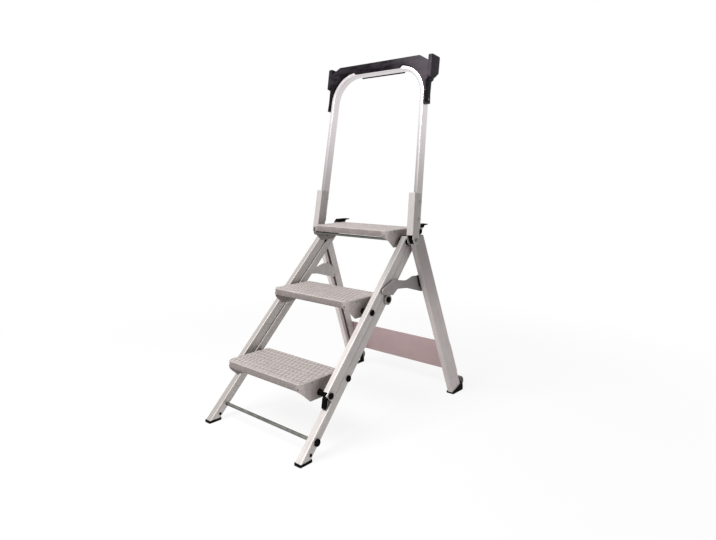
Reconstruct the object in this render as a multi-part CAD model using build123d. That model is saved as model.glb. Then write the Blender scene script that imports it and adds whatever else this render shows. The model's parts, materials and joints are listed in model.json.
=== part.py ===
from build123d import *
import os
from math import atan, cos, degrees, radians, sin, tan

# Folding three-step stool with a tall handrail, standing open. Millimetres, +Z up, +X to the right of
# someone about to climb it, +Y towards the back. The origin is on the floor below the middle of the outline.
# Right-hand pieces are modelled first; left-hand pieces are their mirror images.

# Overall
HALF_DEPTH = 455.5
RISE = 230.0
SHEET = 2.5
BIG = 3000.0

# Main rails and link bars: tubes that lean back, and come together towards the top
BAR_CORNER = 3.0
BAR_INNER_CORNER = 1.0
RAIL_ANGLE = 46.4
RAIL_TAPER = 0.042
RAIL_FLOOR_HALF_WIDTH = 252.0
RAIL_WIDTH = 27.5
RAIL_FRONT = -20.3
RAIL_REAR = 11.3
RAIL_BOTTOM = 9.0
RAIL_TOP = 690.0
LINK_WIDTH = 23.5
LINK_FRONT = -56.7
LINK_REAR = -20.7
LINK_WEB_END = -96.0
LINK_FLANGE_END = -82.0
LINK_WALL_END = -66.0
LINK_TOP_END = 566.0
LINK_CAP_THICKNESS = 4.0
LINK_CAP_WALL = 2.5
LINK_CAP_WALL_LENGTH = 42.0
LINK_CAP_SLOT_TOP = 30.0
LINK_CAP_SLOT_EDGE = 6.0
LINK_CAP_CLEARANCE = 1.5

# Pivots of the treads, seen from the side
BOTTOM_PIVOT_REACH = 229.0
PIVOT_DROP = 14.0
FRONT_PIVOT_REACH = -87.0
FRONT_PIVOT_DROP = -33.4
PIN_RADIUS = 5.0
RUNNING_FIT = 0.06
OPEN_PIVOT_FIT = 0.3
SIDE_PLAY = 0.8
REAR_BUSH_RADIUS = 8.0
FRONT_BUSH_RADIUS = 11.0
CAP_RADIUS = 11.0
CAP_THICKNESS = 4.0
CAP_EDGE = 1.2
PIN_HEAD_RADIUS = 7.0
PIN_HEAD_LENGTH = 6.0

# Treads
TREAD_HALF_WIDTH = 193.0
TREAD_FRONT = -175.0
TREAD_BACK = 21.0
TREAD_LIP = 25.0
TREAD_EDGE_RADIUS = 7.0
TREAD_CORNER_RADIUS = 26.0
TREAD_SIDE_SKIRT = 7.5
TREAD_LIP_RETURN = 14.0
TREAD_RIBS = (-118.0, -52.0)
TREAD_RIB_HEIGHT = 16.0
SIDE_PLATE_DROP = -54.0
SIDE_PLATE_TOE = (-127.0, -60.0)
SIDE_PLATE_HEEL = -14.0
SIDE_PLATE_RADII = [0, 0, 0, 8, 20, 14]
GRAB_ROD_RADIUS = 5.0
GRAB_ROD_PLACE = (-162.0, -19.0)

# Foot end of the front frame
FOOT_LENGTH = 53.0
FOOT_OVERHANG = 1.5
FOOT_CORNER = 4.0
FOOT_CHAMFER = 1.2
TONGUE_TOP = 40.0
TONGUE_FIT = 0.4
FOOT_RIVET_HEIGHT = 24.0
FOOT_RIVET_RADIUS = 2.5
FOOT_RIVET_HEAD = 1.7
FOOT_RIVET_GAP = 0.3
CROSS_ROD_HEIGHT = 54.0
CROSS_ROD_RADIUS = 6.0
ROD_STANDS_PROUD = 0.6
ROD_CAP_RADIUS = 12.2
ROD_CAP_THICKNESS = 4.4
RAIL_CAP_HEIGHT = 13.0
RAIL_CAP_TAB = 26.0
RAIL_CAP_TAB_THICKNESS = 4.0
RAIL_CAP_OVERHANG = 0.5

# Rear legs
LEG_ANGLE = 20.55
LEG_TAPER = 0.036
LEG_FLOOR_HALF_WIDTH = 286.0
LEG_WIDTH = 23.0
LEG_HALF_DEPTH = 32.0
LEG_SLOT_FRONT = -17.0
LEG_SLOT_REAR = -3.6
LEG_TOP = 668.0
LEG_NOTCH_BOTTOM = 637.0
LEG_HINGE_HEIGHT = 625.6
LEG_HINGE_RADIUS = 6.0
HINGE_HEAD_RADIUS = 8.0
HINGE_HEAD_LENGTH = 4.2
HINGE_COLLAR_RADIUS = 11.0
NOSE_CLEARANCE = 1.2
WHEEL_NOTCH_CLEARANCE = 8.0
TOP_BLOCK_LENGTH = 62.0
CROSS_PLATE_START = 455.0
CROSS_PLATE_END = 591.0
RIVET_RADIUS = 3.0
RIVET_HEAD = 2.0
RIVET_INSET = 18.0
PLATE_SIDE_INSET = 2.0
PLATE_CORNER = 4.0

# Rear shoes and wheels
SHOE_BASE = 8.0
SHOE_TOE_REACH = 819.0
SHOE_SKIN = 2.2
SHOE_INNER_HALF_WIDTH = 256.0
WHEEL_REACH = 889.0
WHEEL_HEIGHT = 33.0
WHEEL_RADIUS = 22.0
WHEEL_WIDTH = 18.0
WHEEL_OUTER_HALF_WIDTH = 281.0
AXLE_RADIUS = 4.0
LUG_RADIUS = 5.8
LUG_THICKNESS = 4.5
HEEL_BEHIND_WHEEL = 5.0
HEEL_RISE_START = 2.0
HEEL_DROP = 15.0
SOLE_UNDER_WHEEL = 6.0
CHEEK_OVERLAP = 20.0
WHEEL_CLEARANCE = 2.0
SKIN_CLEARANCE = 0.2
WHEEL_EDGE = 2.0
WHEEL_RIM = 6.0
WHEEL_DISH = 2.0
WHEEL_HUB_RADIUS = 8.0

# Brace plates, fixed to the middle tread
BRACE_INNER_X = 237.0
BRACE_THICKNESS = 4.0
ROLLER_PLACE = (222.0, 6.0)
ROLLER_RADIUS = 9.0
ROLLER_STUB_RADIUS = 3.0
ROLLER_START_X = 260.0
ROLLER_END_X = 266.0
BRACE_UPPER = [(-40, 24), (-29, 42), (34, 68), (110, 54), (150, 66), (188, 63), (236, 18)]
BRACE_UPPER_RADII = [10, 14, 40, 60, 40, 20, 10]
BRACE_LOWER = [(233, -2), (206, -1), (112, 26), (56, 31), (28, 12)]
BRACE_LOWER_RADII = [6, 30, 90, 14, 10]
BRACE_EYE_RADIUS = 19.0
BRACE_BOSS_RADIUS = 13.0
ROLLER_EDGE = 1.5
BUFFER = [(176, 66), (184, 66), (198, 20), (190, 20)]
BUFFER_THICKNESS = 2.4
BUFFER_CORNER = 2.0

# Lock lever at the lower end of the right link bar
LEVER_HUB_RADIUS = 11.0
LEVER_SIDE_PLAY = 2.2
LEVER_ARM = [(0, -8), (-9, -15), (-15.5, -41), (-21.5, -41), (-17, -8), (-6, 6)]
LEVER_ARM_RADII = [0, 5, 1.5, 2, 6, 0]
LEVER_ARM_WIDTH = 18.0

# Handrail
LEAN = 8.2
POST_HINGE_REACH = 585.0
POST_HINGE_HEIGHT = 652.0
POST_HINGE_DEPTH = 25.0
POST_EAR_RADIUS = 17.0
POST_WALL = 2.2
POST_SIDE_PLAY = 1.2
POST_DEPTH = 41.5
POST_FRONT_START = 16.6
POST_TOP = 831.0
TUBE_WIDTH = 20.0
TUBE_DEPTH = 36.0
TUBE_WALL = 2.0
TUBE_BEHIND_POST_FRONT = 18.5
TUBE_BOTTOM = 702.0
TUBE_TOP_CENTRE = 1326.0
TUBE_BEND = 120.0
TUBE_TAPER = 0.03
TUBE_HALF_WIDTH_AT_METRE = 251.5
BOLT_HEIGHTS = (735.0, 800.0)
BOLT_RADIUS = 3.0
BOLT_HEAD_RADIUS = 5.5
BOLT_HEAD_LENGTH = 2.8
BOLT_HEAD_GAP = 0.4
BOLT_COLLAR_RADIUS = 6.0
POST_CORNER = 2.5
POST_INNER_CORNER = 0.8
POST_HEAD_RADIUS = 8.0
POST_HEAD_LENGTH = 2.5
POST_HEAD_GAP = 0.5

# Saddle cap on the handrail, seen from the front about the middle of the top bar
SADDLE_TOP = 38.0
SADDLE_SKIRT = -3.0
SADDLE_SKIRT_END = 117.0
SADDLE_REAR_SKIRT = -11.0
SADDLE_FRONT = -22.5
SADDLE_BACK = 26.0
SADDLE_TOP_END = 210.0
SADDLE_WALL = 3.5
HORN_INNER = 257.0
HORN_OUTER = 273.0
HORN_TOP = 35.0
HORN_BOTTOM = -52.0
HORN_FRONT = -24.0
HORN_BACK = 31.0
ARM_BOTTOM = -152.0
ARM_THICKNESS = 13.0
ARM_BACK = 12.0
SCREW_HEIGHT = -138.0
SCREW_RADIUS = 4.5
SCREW_HEAD = 2.0
SCREW_PLACE = -4.0
HORN_STEP = 14.0
HORN_ROUND = 5.0
SADDLE_FIT = 0.4
SADDLE_BEND_TURNS = (84.0, 45.0, 2.0)
TUBE_ROOM = 0.6


def toe(reach, height):
    """Side-view place of a point given by its distance behind the front toe."""
    return reach - HALF_DEPTH, height


def step_from(place, reach, height):
    """Side-view place a little way from another."""
    return place[0] + reach, place[1] + height


RAIL_RISE = tan(radians(RAIL_ANGLE))
RAIL_ALONG = (cos(radians(RAIL_ANGLE)), sin(radians(RAIL_ANGLE)))
RAIL_BACKWARDS = (RAIL_ALONG[1], -RAIL_ALONG[0])
LEG_DOWN = (sin(radians(LEG_ANGLE)), -cos(radians(LEG_ANGLE)))
LEG_BACKWARDS = (-LEG_DOWN[1], LEG_DOWN[0])
LEAN_UP = (sin(radians(LEAN)), cos(radians(LEAN)))
LEAN_BACKWARDS = (LEAN_UP[1], -LEAN_UP[0])

FIRST_PIVOT = toe(BOTTOM_PIVOT_REACH, RISE - PIVOT_DROP)
REAR_PIVOTS = [step_from(FIRST_PIVOT, k * RISE / RAIL_RISE, k * RISE) for k in range(3)]
FRONT_PIVOTS = [step_from(p, FRONT_PIVOT_REACH, FRONT_PIVOT_DROP) for p in REAR_PIVOTS]
TREAD_NAMES = ("bottom", "middle", "platform")


def along(place, direction, distance, backwards, offset):
    """Side-view place so far along a bar and so far behind its line."""
    return (
        place[0] + distance * direction[0] + offset * backwards[0],
        place[1] + distance * direction[1] + offset * backwards[1],
    )


def rail_line(height):
    """Side-view place on the line of the rear pivots."""
    return FIRST_PIVOT[0] + (height - FIRST_PIVOT[1]) / RAIL_RISE, height


LEG_HINGE = rail_line(LEG_HINGE_HEIGHT)
POST_HINGE = toe(POST_HINGE_REACH, POST_HINGE_HEIGHT)
WHEEL_CENTRE = toe(WHEEL_REACH, WHEEL_HEIGHT)
ROLLER_CENTRE = step_from(REAR_PIVOTS[1], *ROLLER_PLACE)


def rail_x(height):
    """Outer face of a main rail or link bar."""
    return RAIL_FLOOR_HALF_WIDTH - RAIL_TAPER * height


def bar_x(place):
    """Outer face of a main rail or link bar at a side-view place on or off the line of the rear pivots."""
    distance = (place[0] - FIRST_PIVOT[0]) * RAIL_ALONG[0] + (place[1] - FIRST_PIVOT[1]) * RAIL_ALONG[1]
    return rail_x(FIRST_PIVOT[1] + distance * RAIL_ALONG[1])


def leg_x(height):
    """Outer face of a rear leg."""
    return LEG_FLOOR_HALF_WIDTH - LEG_TAPER * height


def leg_line(height):
    """Side-view place on the middle line of a rear leg."""
    down = (LEG_HINGE[1] - height) / -LEG_DOWN[1]
    return along(LEG_HINGE, LEG_DOWN, down, LEG_BACKWARDS, 0)


def bar_frame(foot, head, foot_x, head_x, backwards):
    """Frame of a leaning bar: x outwards, y behind it, z up along it, from its outer face."""
    low = Vector(foot_x, *foot)
    direction = (Vector(head_x, *head) - low).normalized()
    outwards = Vector(0, *backwards).cross(direction)
    return Plane(origin=low, x_dir=outwards, z_dir=direction)


def rail_frame(height=0.0):
    """Frame of the right main rail, starting at a height on the line of the rear pivots."""
    top = height + RISE
    return bar_frame(rail_line(height), rail_line(top), rail_x(height), rail_x(top), RAIL_BACKWARDS)


def leg_frame(height=0.0):
    """Frame of the right rear leg, starting at a height on its middle line."""
    top = height + RISE
    return bar_frame(leg_line(height), leg_line(top), leg_x(height), leg_x(top), LEG_BACKWARDS)


def outline(points, radii):
    """Closed face with one corner radius for each point."""
    return make_face(FilletPolyline(*points, radius=radii, close=True))


def in_frame(frame, shape):
    return frame.location * shape


def block(x0, x1, y0, y1, z0, z1):
    """Box between two corners."""
    return Pos((x0 + x1) / 2, (y0 + y1) / 2, (z0 + z1) / 2) * Box(x1 - x0, y1 - y0, z1 - z0)


def slice_between(low, high):
    """Everything between two heights."""
    return block(-BIG, BIG, -BIG, BIG, low, high)


def round_bar(radius, x0, x1, place):
    """Cylinder across the stool."""
    return Pos((x0 + x1) / 2, *place) * Rot(0, 90, 0) * Cylinder(radius, x1 - x0)


def bore(radius, place):
    """Cutter for a hole across one side of the stool."""
    return round_bar(radius, 100, 400, place)


def side_sheet(face, x0, x1):
    """Side-view face given thickness across the stool."""
    return extrude(Plane.YZ.offset(x0) * face, x1 - x0)


def mirrored(shape):
    return mirror(shape, about=Plane.YZ)


def tube_bar(frame, length, width, front, rear):
    """Rectangular tube, from its outer face inwards."""
    inner = SHEET - width
    outside = [(-width, front), (0, front), (0, rear), (-width, rear)]
    inside = [
        (inner, front + SHEET), (-SHEET, front + SHEET), (-SHEET, rear - SHEET), (inner, rear - SHEET),
    ]
    section = outline(outside, [BAR_CORNER] * 4) - outline(inside, [BAR_INNER_CORNER] * 4)
    return extrude(frame * section, length)


nodes = {}


def add(name, *shapes):
    """Keep one node, made of one solid or of several alike ones."""
    solids = [solid for shape in shapes for solid in shape.solids()]
    nodes[name] = solids[0] if len(solids) == 1 else Compound(children=solids)


def add_pair(name, shape):
    add(name + "_right", shape)
    add(name + "_left", mirrored(shape))


def add_both(name, *shapes):
    """Keep alike pieces of both sides as one node."""
    add(name, *shapes, *[mirrored(shape) for shape in shapes])


# Main rails
def main_rail():
    frame = rail_frame(-60)
    rail = tube_bar(frame, 1150, RAIL_WIDTH, RAIL_FRONT, RAIL_REAR) & slice_between(RAIL_BOTTOM, RAIL_TOP)
    for pivot in REAR_PIVOTS:
        rail -= bore(PIN_RADIUS + RUNNING_FIT, pivot)
    rail -= round_bar(LEG_HINGE_RADIUS, rail_x(LEG_HINGE_HEIGHT) - 2 * SHEET, BIG, LEG_HINGE)
    rail -= bore(CROSS_ROD_RADIUS, rail_line(CROSS_ROD_HEIGHT))
    return rail - bore(FOOT_RIVET_RADIUS, rail_line(FOOT_RIVET_HEIGHT))


def front_foot():
    """Rubber sole below the rail's end, with a tongue up inside the tube."""
    outer = rail_x(0) + FOOT_OVERHANG
    inner = rail_x(RAIL_BOTTOM) - RAIL_WIDTH - FOOT_OVERHANG
    front = -HALF_DEPTH
    sole = block(inner, outer, front, front + FOOT_LENGTH, 0, RAIL_BOTTOM)
    sole = fillet(sole.edges().filter_by(Axis.Z), FOOT_CORNER)
    sole = chamfer(sole.faces().sort_by(Axis.Z)[0].edges(), FOOT_CHAMFER)
    gap = SHEET + TONGUE_FIT
    core = block(gap - RAIL_WIDTH, -gap, RAIL_FRONT + gap, RAIL_REAR - gap, 0, 300)
    tongue = in_frame(rail_frame(-60), core) & slice_between(RAIL_BOTTOM - 1, TONGUE_TOP)
    return sole + tongue - bore(FOOT_RIVET_RADIUS, rail_line(FOOT_RIVET_HEIGHT))


def foot_rivet():
    """Rivet through rail and foot, with a head on both faces."""
    place = rail_line(FOOT_RIVET_HEIGHT)
    outer = rail_x(FOOT_RIVET_HEIGHT) + FOOT_RIVET_GAP
    inner = rail_x(FOOT_RIVET_HEIGHT) - RAIL_WIDTH - FOOT_RIVET_GAP
    rivet = round_bar(FOOT_RIVET_RADIUS, inner, outer, place)
    for start in (outer, inner - FOOT_RIVET_HEAD):
        rivet += round_bar(2 * FOOT_RIVET_RADIUS, start, start + FOOT_RIVET_HEAD, place)
    return rivet


def rail_top_cap():
    """Cover on the rail's cut end, with a tab to the back; its front follows the rail's front face."""
    middle = rail_line(RAIL_TOP)[0]
    front_gap = -RAIL_FRONT / RAIL_ALONG[1]
    rear_gap = RAIL_REAR / RAIL_ALONG[1]
    start = middle - front_gap
    end = middle + rear_gap
    top = RAIL_TOP + RAIL_CAP_HEIGHT
    shift = RAIL_CAP_HEIGHT / RAIL_RISE
    tab = RAIL_CAP_TAB_THICKNESS
    points = [
        (start, RAIL_TOP), (end, RAIL_TOP), (end + tab, top - tab - 1), (end + RAIL_CAP_TAB, top - tab),
        (end + RAIL_CAP_TAB, top), (start + shift, top),
    ]
    face = outline(points, [0, 0, 2, 1, 1, 2])
    outer = rail_x(RAIL_TOP) + RAIL_CAP_OVERHANG
    return side_sheet(face, outer - RAIL_WIDTH, outer)


def leg_hinge_pin():
    """Pin fixed in the main rail, with a head inside and a collar between rail and leg."""
    web = rail_x(LEG_HINGE_HEIGHT)
    block_face = leg_x(LEG_HINGE_HEIGHT) - LEG_WIDTH
    head_end = web - SHEET - SIDE_PLAY
    head_start = head_end - HINGE_HEAD_LENGTH
    pin = round_bar(LEG_HINGE_RADIUS, head_start, block_face + LEG_WIDTH - 2 * SHEET, LEG_HINGE)
    head = round_bar(HINGE_HEAD_RADIUS, head_start, head_end, LEG_HINGE)
    collar = round_bar(HINGE_COLLAR_RADIUS, web + SIDE_PLAY, block_face - SIDE_PLAY, LEG_HINGE)
    return pin + head + collar


add_pair("main_rail", main_rail())
add_pair("front_foot", front_foot())
add_both("foot_rivets", foot_rivet())
rod_place = rail_line(CROSS_ROD_HEIGHT)
rod_end = rail_x(CROSS_ROD_HEIGHT)
rod_tip = rod_end + ROD_STANDS_PROUD
add("lower_cross_rod", round_bar(CROSS_ROD_RADIUS, -rod_tip, rod_tip, rod_place))
add_both("cross_rod_caps", round_bar(ROD_CAP_RADIUS, rod_tip, rod_tip + ROD_CAP_THICKNESS, rod_place))
add_pair("rail_top_cap", rail_top_cap())
add_both("leg_hinge_pins", leg_hinge_pin())


# Treads, in side view about their rear pivot
def tray(inset):
    """Solid of the tread's outside, drawn in all round, with rounded front corners and upper edges."""
    half = TREAD_HALF_WIDTH - inset
    front = TREAD_FRONT + inset
    back = TREAD_BACK - inset
    body = block(-half, half, front, back, SIDE_PLATE_DROP - inset, PIVOT_DROP - inset)
    corners = body.edges().filter_by(Axis.Z).group_by(Axis.Y)[0]
    body = fillet(corners, TREAD_CORNER_RADIUS - inset)
    upper = body.faces().sort_by(Axis.Z)[-1]
    return fillet(upper.edges(), TREAD_EDGE_RADIUS - inset)


def tread_pan(pivot):
    """Pressed top with lips down at front and back, corners that deepen, short side skirts and ribs."""
    low = PIVOT_DROP - TREAD_LIP
    plate_face = TREAD_HALF_WIDTH - SHEET
    pan = tray(0) - tray(SHEET)
    side_room = block(
        plate_face, BIG, TREAD_FRONT + TREAD_CORNER_RADIUS, BIG, -BIG, PIVOT_DROP - TREAD_SIDE_SKIRT
    )
    pan -= side_room
    pan -= mirrored(side_room)
    toe_reach = SIDE_PLATE_TOE[0]
    pan -= block(-BIG, BIG, toe_reach, BIG, -BIG, low)
    slope = [(-BIG, low), (TREAD_FRONT, low), (toe_reach, SIDE_PLATE_DROP), (toe_reach, -BIG), (-BIG, -BIG)]
    pan -= side_sheet(make_face(Polyline(*slope, close=True)), -BIG, BIG)
    rib_top = PIVOT_DROP - SHEET
    for rib in TREAD_RIBS:
        pan += block(-plate_face, plate_face, rib, rib + SHEET, rib_top - TREAD_RIB_HEIGHT, rib_top)
    lip_half = plate_face - TREAD_CORNER_RADIUS
    for lip in (TREAD_FRONT + SHEET, TREAD_BACK - SHEET - TREAD_LIP_RETURN):
        pan += block(-lip_half, lip_half, lip, lip + TREAD_LIP_RETURN, low, low + SHEET)
    return Pos(0, *pivot) * pan


def tread_side(pivot):
    """Side plate below the skirt, with the sloped front corner, drilled for both pivots."""
    top = PIVOT_DROP - TREAD_SIDE_SKIRT
    front = TREAD_FRONT + TREAD_CORNER_RADIUS
    toe_reach, heel_reach = SIDE_PLATE_TOE
    lip = PIVOT_DROP - TREAD_LIP
    low = lip + (SIDE_PLATE_DROP - lip) * TREAD_CORNER_RADIUS / (toe_reach - TREAD_FRONT)
    points = [
        (front, low), (front, top), (TREAD_BACK, top), (TREAD_BACK, SIDE_PLATE_HEEL),
        (heel_reach, SIDE_PLATE_DROP), (toe_reach, SIDE_PLATE_DROP),
    ]
    plate = Pos(0, *pivot) * side_sheet(
        outline(points, SIDE_PLATE_RADII), TREAD_HALF_WIDTH - SHEET, TREAD_HALF_WIDTH
    )
    plate -= bore(PIN_RADIUS, pivot)
    return plate - bore(PIN_RADIUS, step_from(pivot, FRONT_PIVOT_REACH, FRONT_PIVOT_DROP))


def tread_pin(place, end_x):
    """Pin fixed in a side plate, with a head on the plate's inner face."""
    inner = TREAD_HALF_WIDTH - SHEET
    head = round_bar(PIN_HEAD_RADIUS, inner - PIN_HEAD_LENGTH, inner, place)
    return round_bar(PIN_RADIUS, inner - 1, end_x, place) + head


def pivot_bush(radius, place, end_x):
    """Spacer round a pin between side plate and bar."""
    return round_bar(radius, TREAD_HALF_WIDTH, end_x, place) - bore(PIN_RADIUS, place)


def pivot_cap(place, start_x):
    cap = round_bar(CAP_RADIUS, start_x, start_x + CAP_THICKNESS, place)
    return fillet(cap.edges().group_by(Axis.X)[-1], CAP_EDGE)


LEVER_INNER_X = bar_x(FRONT_PIVOTS[0]) - LINK_WIDTH
LEVER_OUTER_X = bar_x(FRONT_PIVOTS[0]) - SHEET - LEVER_SIDE_PLAY

for level, tread in enumerate(TREAD_NAMES):
    rear = REAR_PIVOTS[level]
    front = FRONT_PIVOTS[level]
    add(tread + "_pan", tread_pan(rear))
    add_pair(tread + "_side", tread_side(rear))
    rear_web = bar_x(rear)
    front_web = bar_x(front)
    rear_end = BRACE_INNER_X + BRACE_THICKNESS if tread == "middle" else rear_web + SIDE_PLAY
    front_end = front_web + SIDE_PLAY
    add_both(tread + "_pins", tread_pin(rear, rear_end), tread_pin(front, front_end))
    add_both(tread + "_caps", pivot_cap(rear, rear_end), pivot_cap(front, front_end))
    rear_bush = pivot_bush(REAR_BUSH_RADIUS, rear, rear_web - RAIL_WIDTH - SIDE_PLAY)
    front_bush = pivot_bush(FRONT_BUSH_RADIUS, front, front_web - LINK_WIDTH - SIDE_PLAY)
    # the link bars' inner walls end above the lowest pivot: the lock lever's hub is there on the right
    left_bush = front_bush
    if tread == "bottom":
        left_bush = pivot_bush(FRONT_BUSH_RADIUS, front, front_web - SHEET - SIDE_PLAY)
    add(tread + "_bushes", rear_bush, mirrored(rear_bush), front_bush, mirrored(left_bush))

grab_place = step_from(REAR_PIVOTS[2], *GRAB_ROD_PLACE)
grab_bar = round_bar(GRAB_ROD_RADIUS, -TREAD_HALF_WIDTH, TREAD_HALF_WIDTH, grab_place)
add("platform_grab_rod", grab_bar & Pos(0, *REAR_PIVOTS[2]) * tray(SHEET))


# Brace plates
def brace_arm():
    """Curved plate from the middle tread's rear pivot to the roller in the leg."""
    face = outline(BRACE_UPPER + BRACE_LOWER, BRACE_UPPER_RADII + BRACE_LOWER_RADII)
    face += Circle(BRACE_EYE_RADIUS)
    end_x = BRACE_INNER_X + BRACE_THICKNESS
    plate = Pos(0, *REAR_PIVOTS[1]) * side_sheet(face, BRACE_INNER_X, end_x)
    boss_start = rail_x(REAR_PIVOTS[1][1]) + SIDE_PLAY
    plate += round_bar(BRACE_BOSS_RADIUS, boss_start, BRACE_INNER_X, REAR_PIVOTS[1])
    plate -= bore(PIN_RADIUS, REAR_PIVOTS[1])
    return plate - bore(ROLLER_STUB_RADIUS, ROLLER_CENTRE)


def brace_roller():
    """Roller inside the leg, on a stub through the leg's slot."""
    roller = round_bar(ROLLER_RADIUS, ROLLER_START_X, ROLLER_END_X, ROLLER_CENTRE)
    roller = fillet(roller.edges().group_by(Axis.X)[-1], ROLLER_EDGE)
    return roller + round_bar(ROLLER_STUB_RADIUS, BRACE_INNER_X, ROLLER_START_X, ROLLER_CENTRE)


def brace_buffer():
    face_x = BRACE_INNER_X + BRACE_THICKNESS
    face = outline(BUFFER, [BUFFER_CORNER] * len(BUFFER))
    return Pos(0, *REAR_PIVOTS[1]) * side_sheet(face, face_x, face_x + BUFFER_THICKNESS)


add_pair("brace_arm", brace_arm())
add_both("brace_rollers", brace_roller())
add_both("brace_buffers", brace_buffer())


# Link bars
def link_bar():
    """Tube in front of the main rail; only its outer wall reaches down past the lowest pivot."""
    frame = rail_frame(FIRST_PIVOT[1])
    bar = tube_bar(frame, LINK_TOP_END, LINK_WIDTH, LINK_FRONT, LINK_REAR)
    lower = tube_bar(rail_frame(0), 2 * FIRST_PIVOT[1], LINK_WIDTH, LINK_FRONT, LINK_REAR)
    room = block(-BIG, BIG, -BIG, BIG, LINK_WEB_END, 1)
    bar += lower & in_frame(frame, room)
    flange_room = block(-BIG, -SHEET - 1, LINK_FRONT - 1, LINK_REAR + 1, LINK_WEB_END - 1, LINK_FLANGE_END)
    bar -= in_frame(frame, flange_room)
    wall = SHEET + 1 - LINK_WIDTH
    wall_room = block(-BIG, wall, LINK_FRONT + SHEET, LINK_REAR - SHEET, LINK_WEB_END - 1, LINK_WALL_END)
    bar -= in_frame(frame, wall_room)
    for pivot in FRONT_PIVOTS:
        fit = RUNNING_FIT if pivot is FRONT_PIVOTS[0] else OPEN_PIVOT_FIT
        bar -= bore(PIN_RADIUS + fit, pivot)
    return bar


def link_top_cap():
    """Cover of the bar's upper end, with a wall down the inner face."""
    frame = rail_frame(FIRST_PIVOT[1])
    inner = -LINK_WIDTH - LINK_CAP_WALL
    end = block(inner, 0, LINK_FRONT, LINK_REAR, LINK_TOP_END, LINK_TOP_END + LINK_CAP_THICKNESS)
    wall_bottom = LINK_TOP_END - LINK_CAP_WALL_LENGTH
    wall = block(inner, -LINK_WIDTH, LINK_FRONT, LINK_REAR, wall_bottom, LINK_TOP_END + 1)
    slot_front = LINK_FRONT + LINK_CAP_SLOT_EDGE
    slot_rear = LINK_REAR - LINK_CAP_SLOT_EDGE
    wall -= block(-BIG, 0, slot_front, slot_rear, -BIG, LINK_TOP_END - LINK_CAP_SLOT_TOP)
    return in_frame(frame, end + wall) - bore(FRONT_BUSH_RADIUS + LINK_CAP_CLEARANCE, FRONT_PIVOTS[2])


add_pair("link_bar", link_bar())
add_pair("link_top_cap", link_top_cap())


# Lock lever
def lock_lever():
    """Hub inside the link bar's lower end, with a slim arm that hangs in front of the rail."""
    pivot = FRONT_PIVOTS[0]
    lever = round_bar(LEVER_HUB_RADIUS, LEVER_INNER_X, LEVER_OUTER_X, pivot)
    arm = Pos(*pivot) * outline(LEVER_ARM, LEVER_ARM_RADII)
    lever += side_sheet(arm, LEVER_OUTER_X - LEVER_ARM_WIDTH, LEVER_OUTER_X)
    return lever - bore(PIN_RADIUS + RUNNING_FIT, pivot)


add("lock_lever", lock_lever())


# Rear legs
def rear_leg():
    """Tube with a slot along its inner face for the roller, notched for top block and wheel."""
    frame = leg_frame(-60)
    leg = tube_bar(frame, 900, LEG_WIDTH, -LEG_HALF_DEPTH, LEG_HALF_DEPTH) & slice_between(SHOE_BASE, LEG_TOP)
    leg -= in_frame(frame, block(-BIG, SHEET + 1 - LEG_WIDTH, LEG_SLOT_FRONT, LEG_SLOT_REAR, 0, BIG))
    front_notch = block(-BIG, -SHEET, -BIG, LEG_SLOT_FRONT + NOSE_CLEARANCE, 0, BIG)
    leg -= in_frame(frame, front_notch) & slice_between(LEG_NOTCH_BOTTOM, BIG)
    rear_notch = block(-BIG, -SHEET, LEG_SLOT_REAR - 1, BIG, 0, BIG)
    notch_top = WHEEL_HEIGHT + WHEEL_RADIUS + WHEEL_NOTCH_CLEARANCE
    leg -= in_frame(frame, rear_notch) & slice_between(0, notch_top)
    leg -= bore(PIN_RADIUS + RUNNING_FIT, POST_HINGE)
    hinge_end = leg_x(LEG_HINGE_HEIGHT) - LEG_WIDTH / 2
    leg -= round_bar(LEG_HINGE_RADIUS + RUNNING_FIT, 0, hinge_end, LEG_HINGE)
    for place in plate_rivet_places():
        leg -= in_frame(leg_frame(0), rivet_shank(place))
    return leg


def leg_top_block():
    """Plug in the leg's upper end that carries both hinge pins and shows through the cut front flange."""
    frame = leg_frame(LEG_HINGE_HEIGHT)
    gap = SHEET + TONGUE_FIT
    plug = block(gap - LEG_WIDTH, -gap, -LEG_HALF_DEPTH + gap, LEG_HALF_DEPTH - gap, -TOP_BLOCK_LENGTH, BIG)
    plug = in_frame(frame, plug) & slice_between(0, LEG_TOP)
    nose = block(-LEG_WIDTH, -gap, -LEG_HALF_DEPTH, LEG_SLOT_REAR - TONGUE_FIT, 0, BIG)
    plug += in_frame(frame, nose) & slice_between(LEG_NOTCH_BOTTOM, LEG_TOP)
    plug -= bore(LEG_HINGE_RADIUS + RUNNING_FIT, LEG_HINGE)
    return plug - bore(PIN_RADIUS + RUNNING_FIT, POST_HINGE)


def leg_height(down):
    """Height of a point so far down the leg from its hinge."""
    return LEG_HINGE[1] + down * LEG_DOWN[1]


def plate_rivet_places():
    """Places in the leg's frame, upwards from the floor, of the cross plate's rivets."""
    rise = (1 + LEG_TAPER**2 * LEG_DOWN[1] ** 2) ** 0.5
    ends = (CROSS_PLATE_START + RIVET_INSET, CROSS_PLATE_END - RIVET_INSET)
    return [(LEG_HINGE[1] / -LEG_DOWN[1] - down) * rise for down in ends]


def rivet_shank(up):
    middle = Pos(-LEG_WIDTH / 2 - PLATE_SIDE_INSET, LEG_HALF_DEPTH, up) * Rot(90, 0, 0)
    return middle * Cylinder(RIVET_RADIUS, 4 * SHEET)


def plate_rivet(up):
    """Shank through plate and flange with a round head at the back."""
    middle = Pos(-LEG_WIDTH / 2 - PLATE_SIDE_INSET, LEG_HALF_DEPTH + SHEET, up) * Rot(-90, 0, 0)
    head = middle * Pos(0, 0, RIVET_HEAD / 2) * Cylinder(2 * RIVET_RADIUS, RIVET_HEAD)
    shank = middle * Pos(0, 0, -SHEET) * Cylinder(RIVET_RADIUS, 2 * SHEET)
    return in_frame(leg_frame(0), head + shank)


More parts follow.
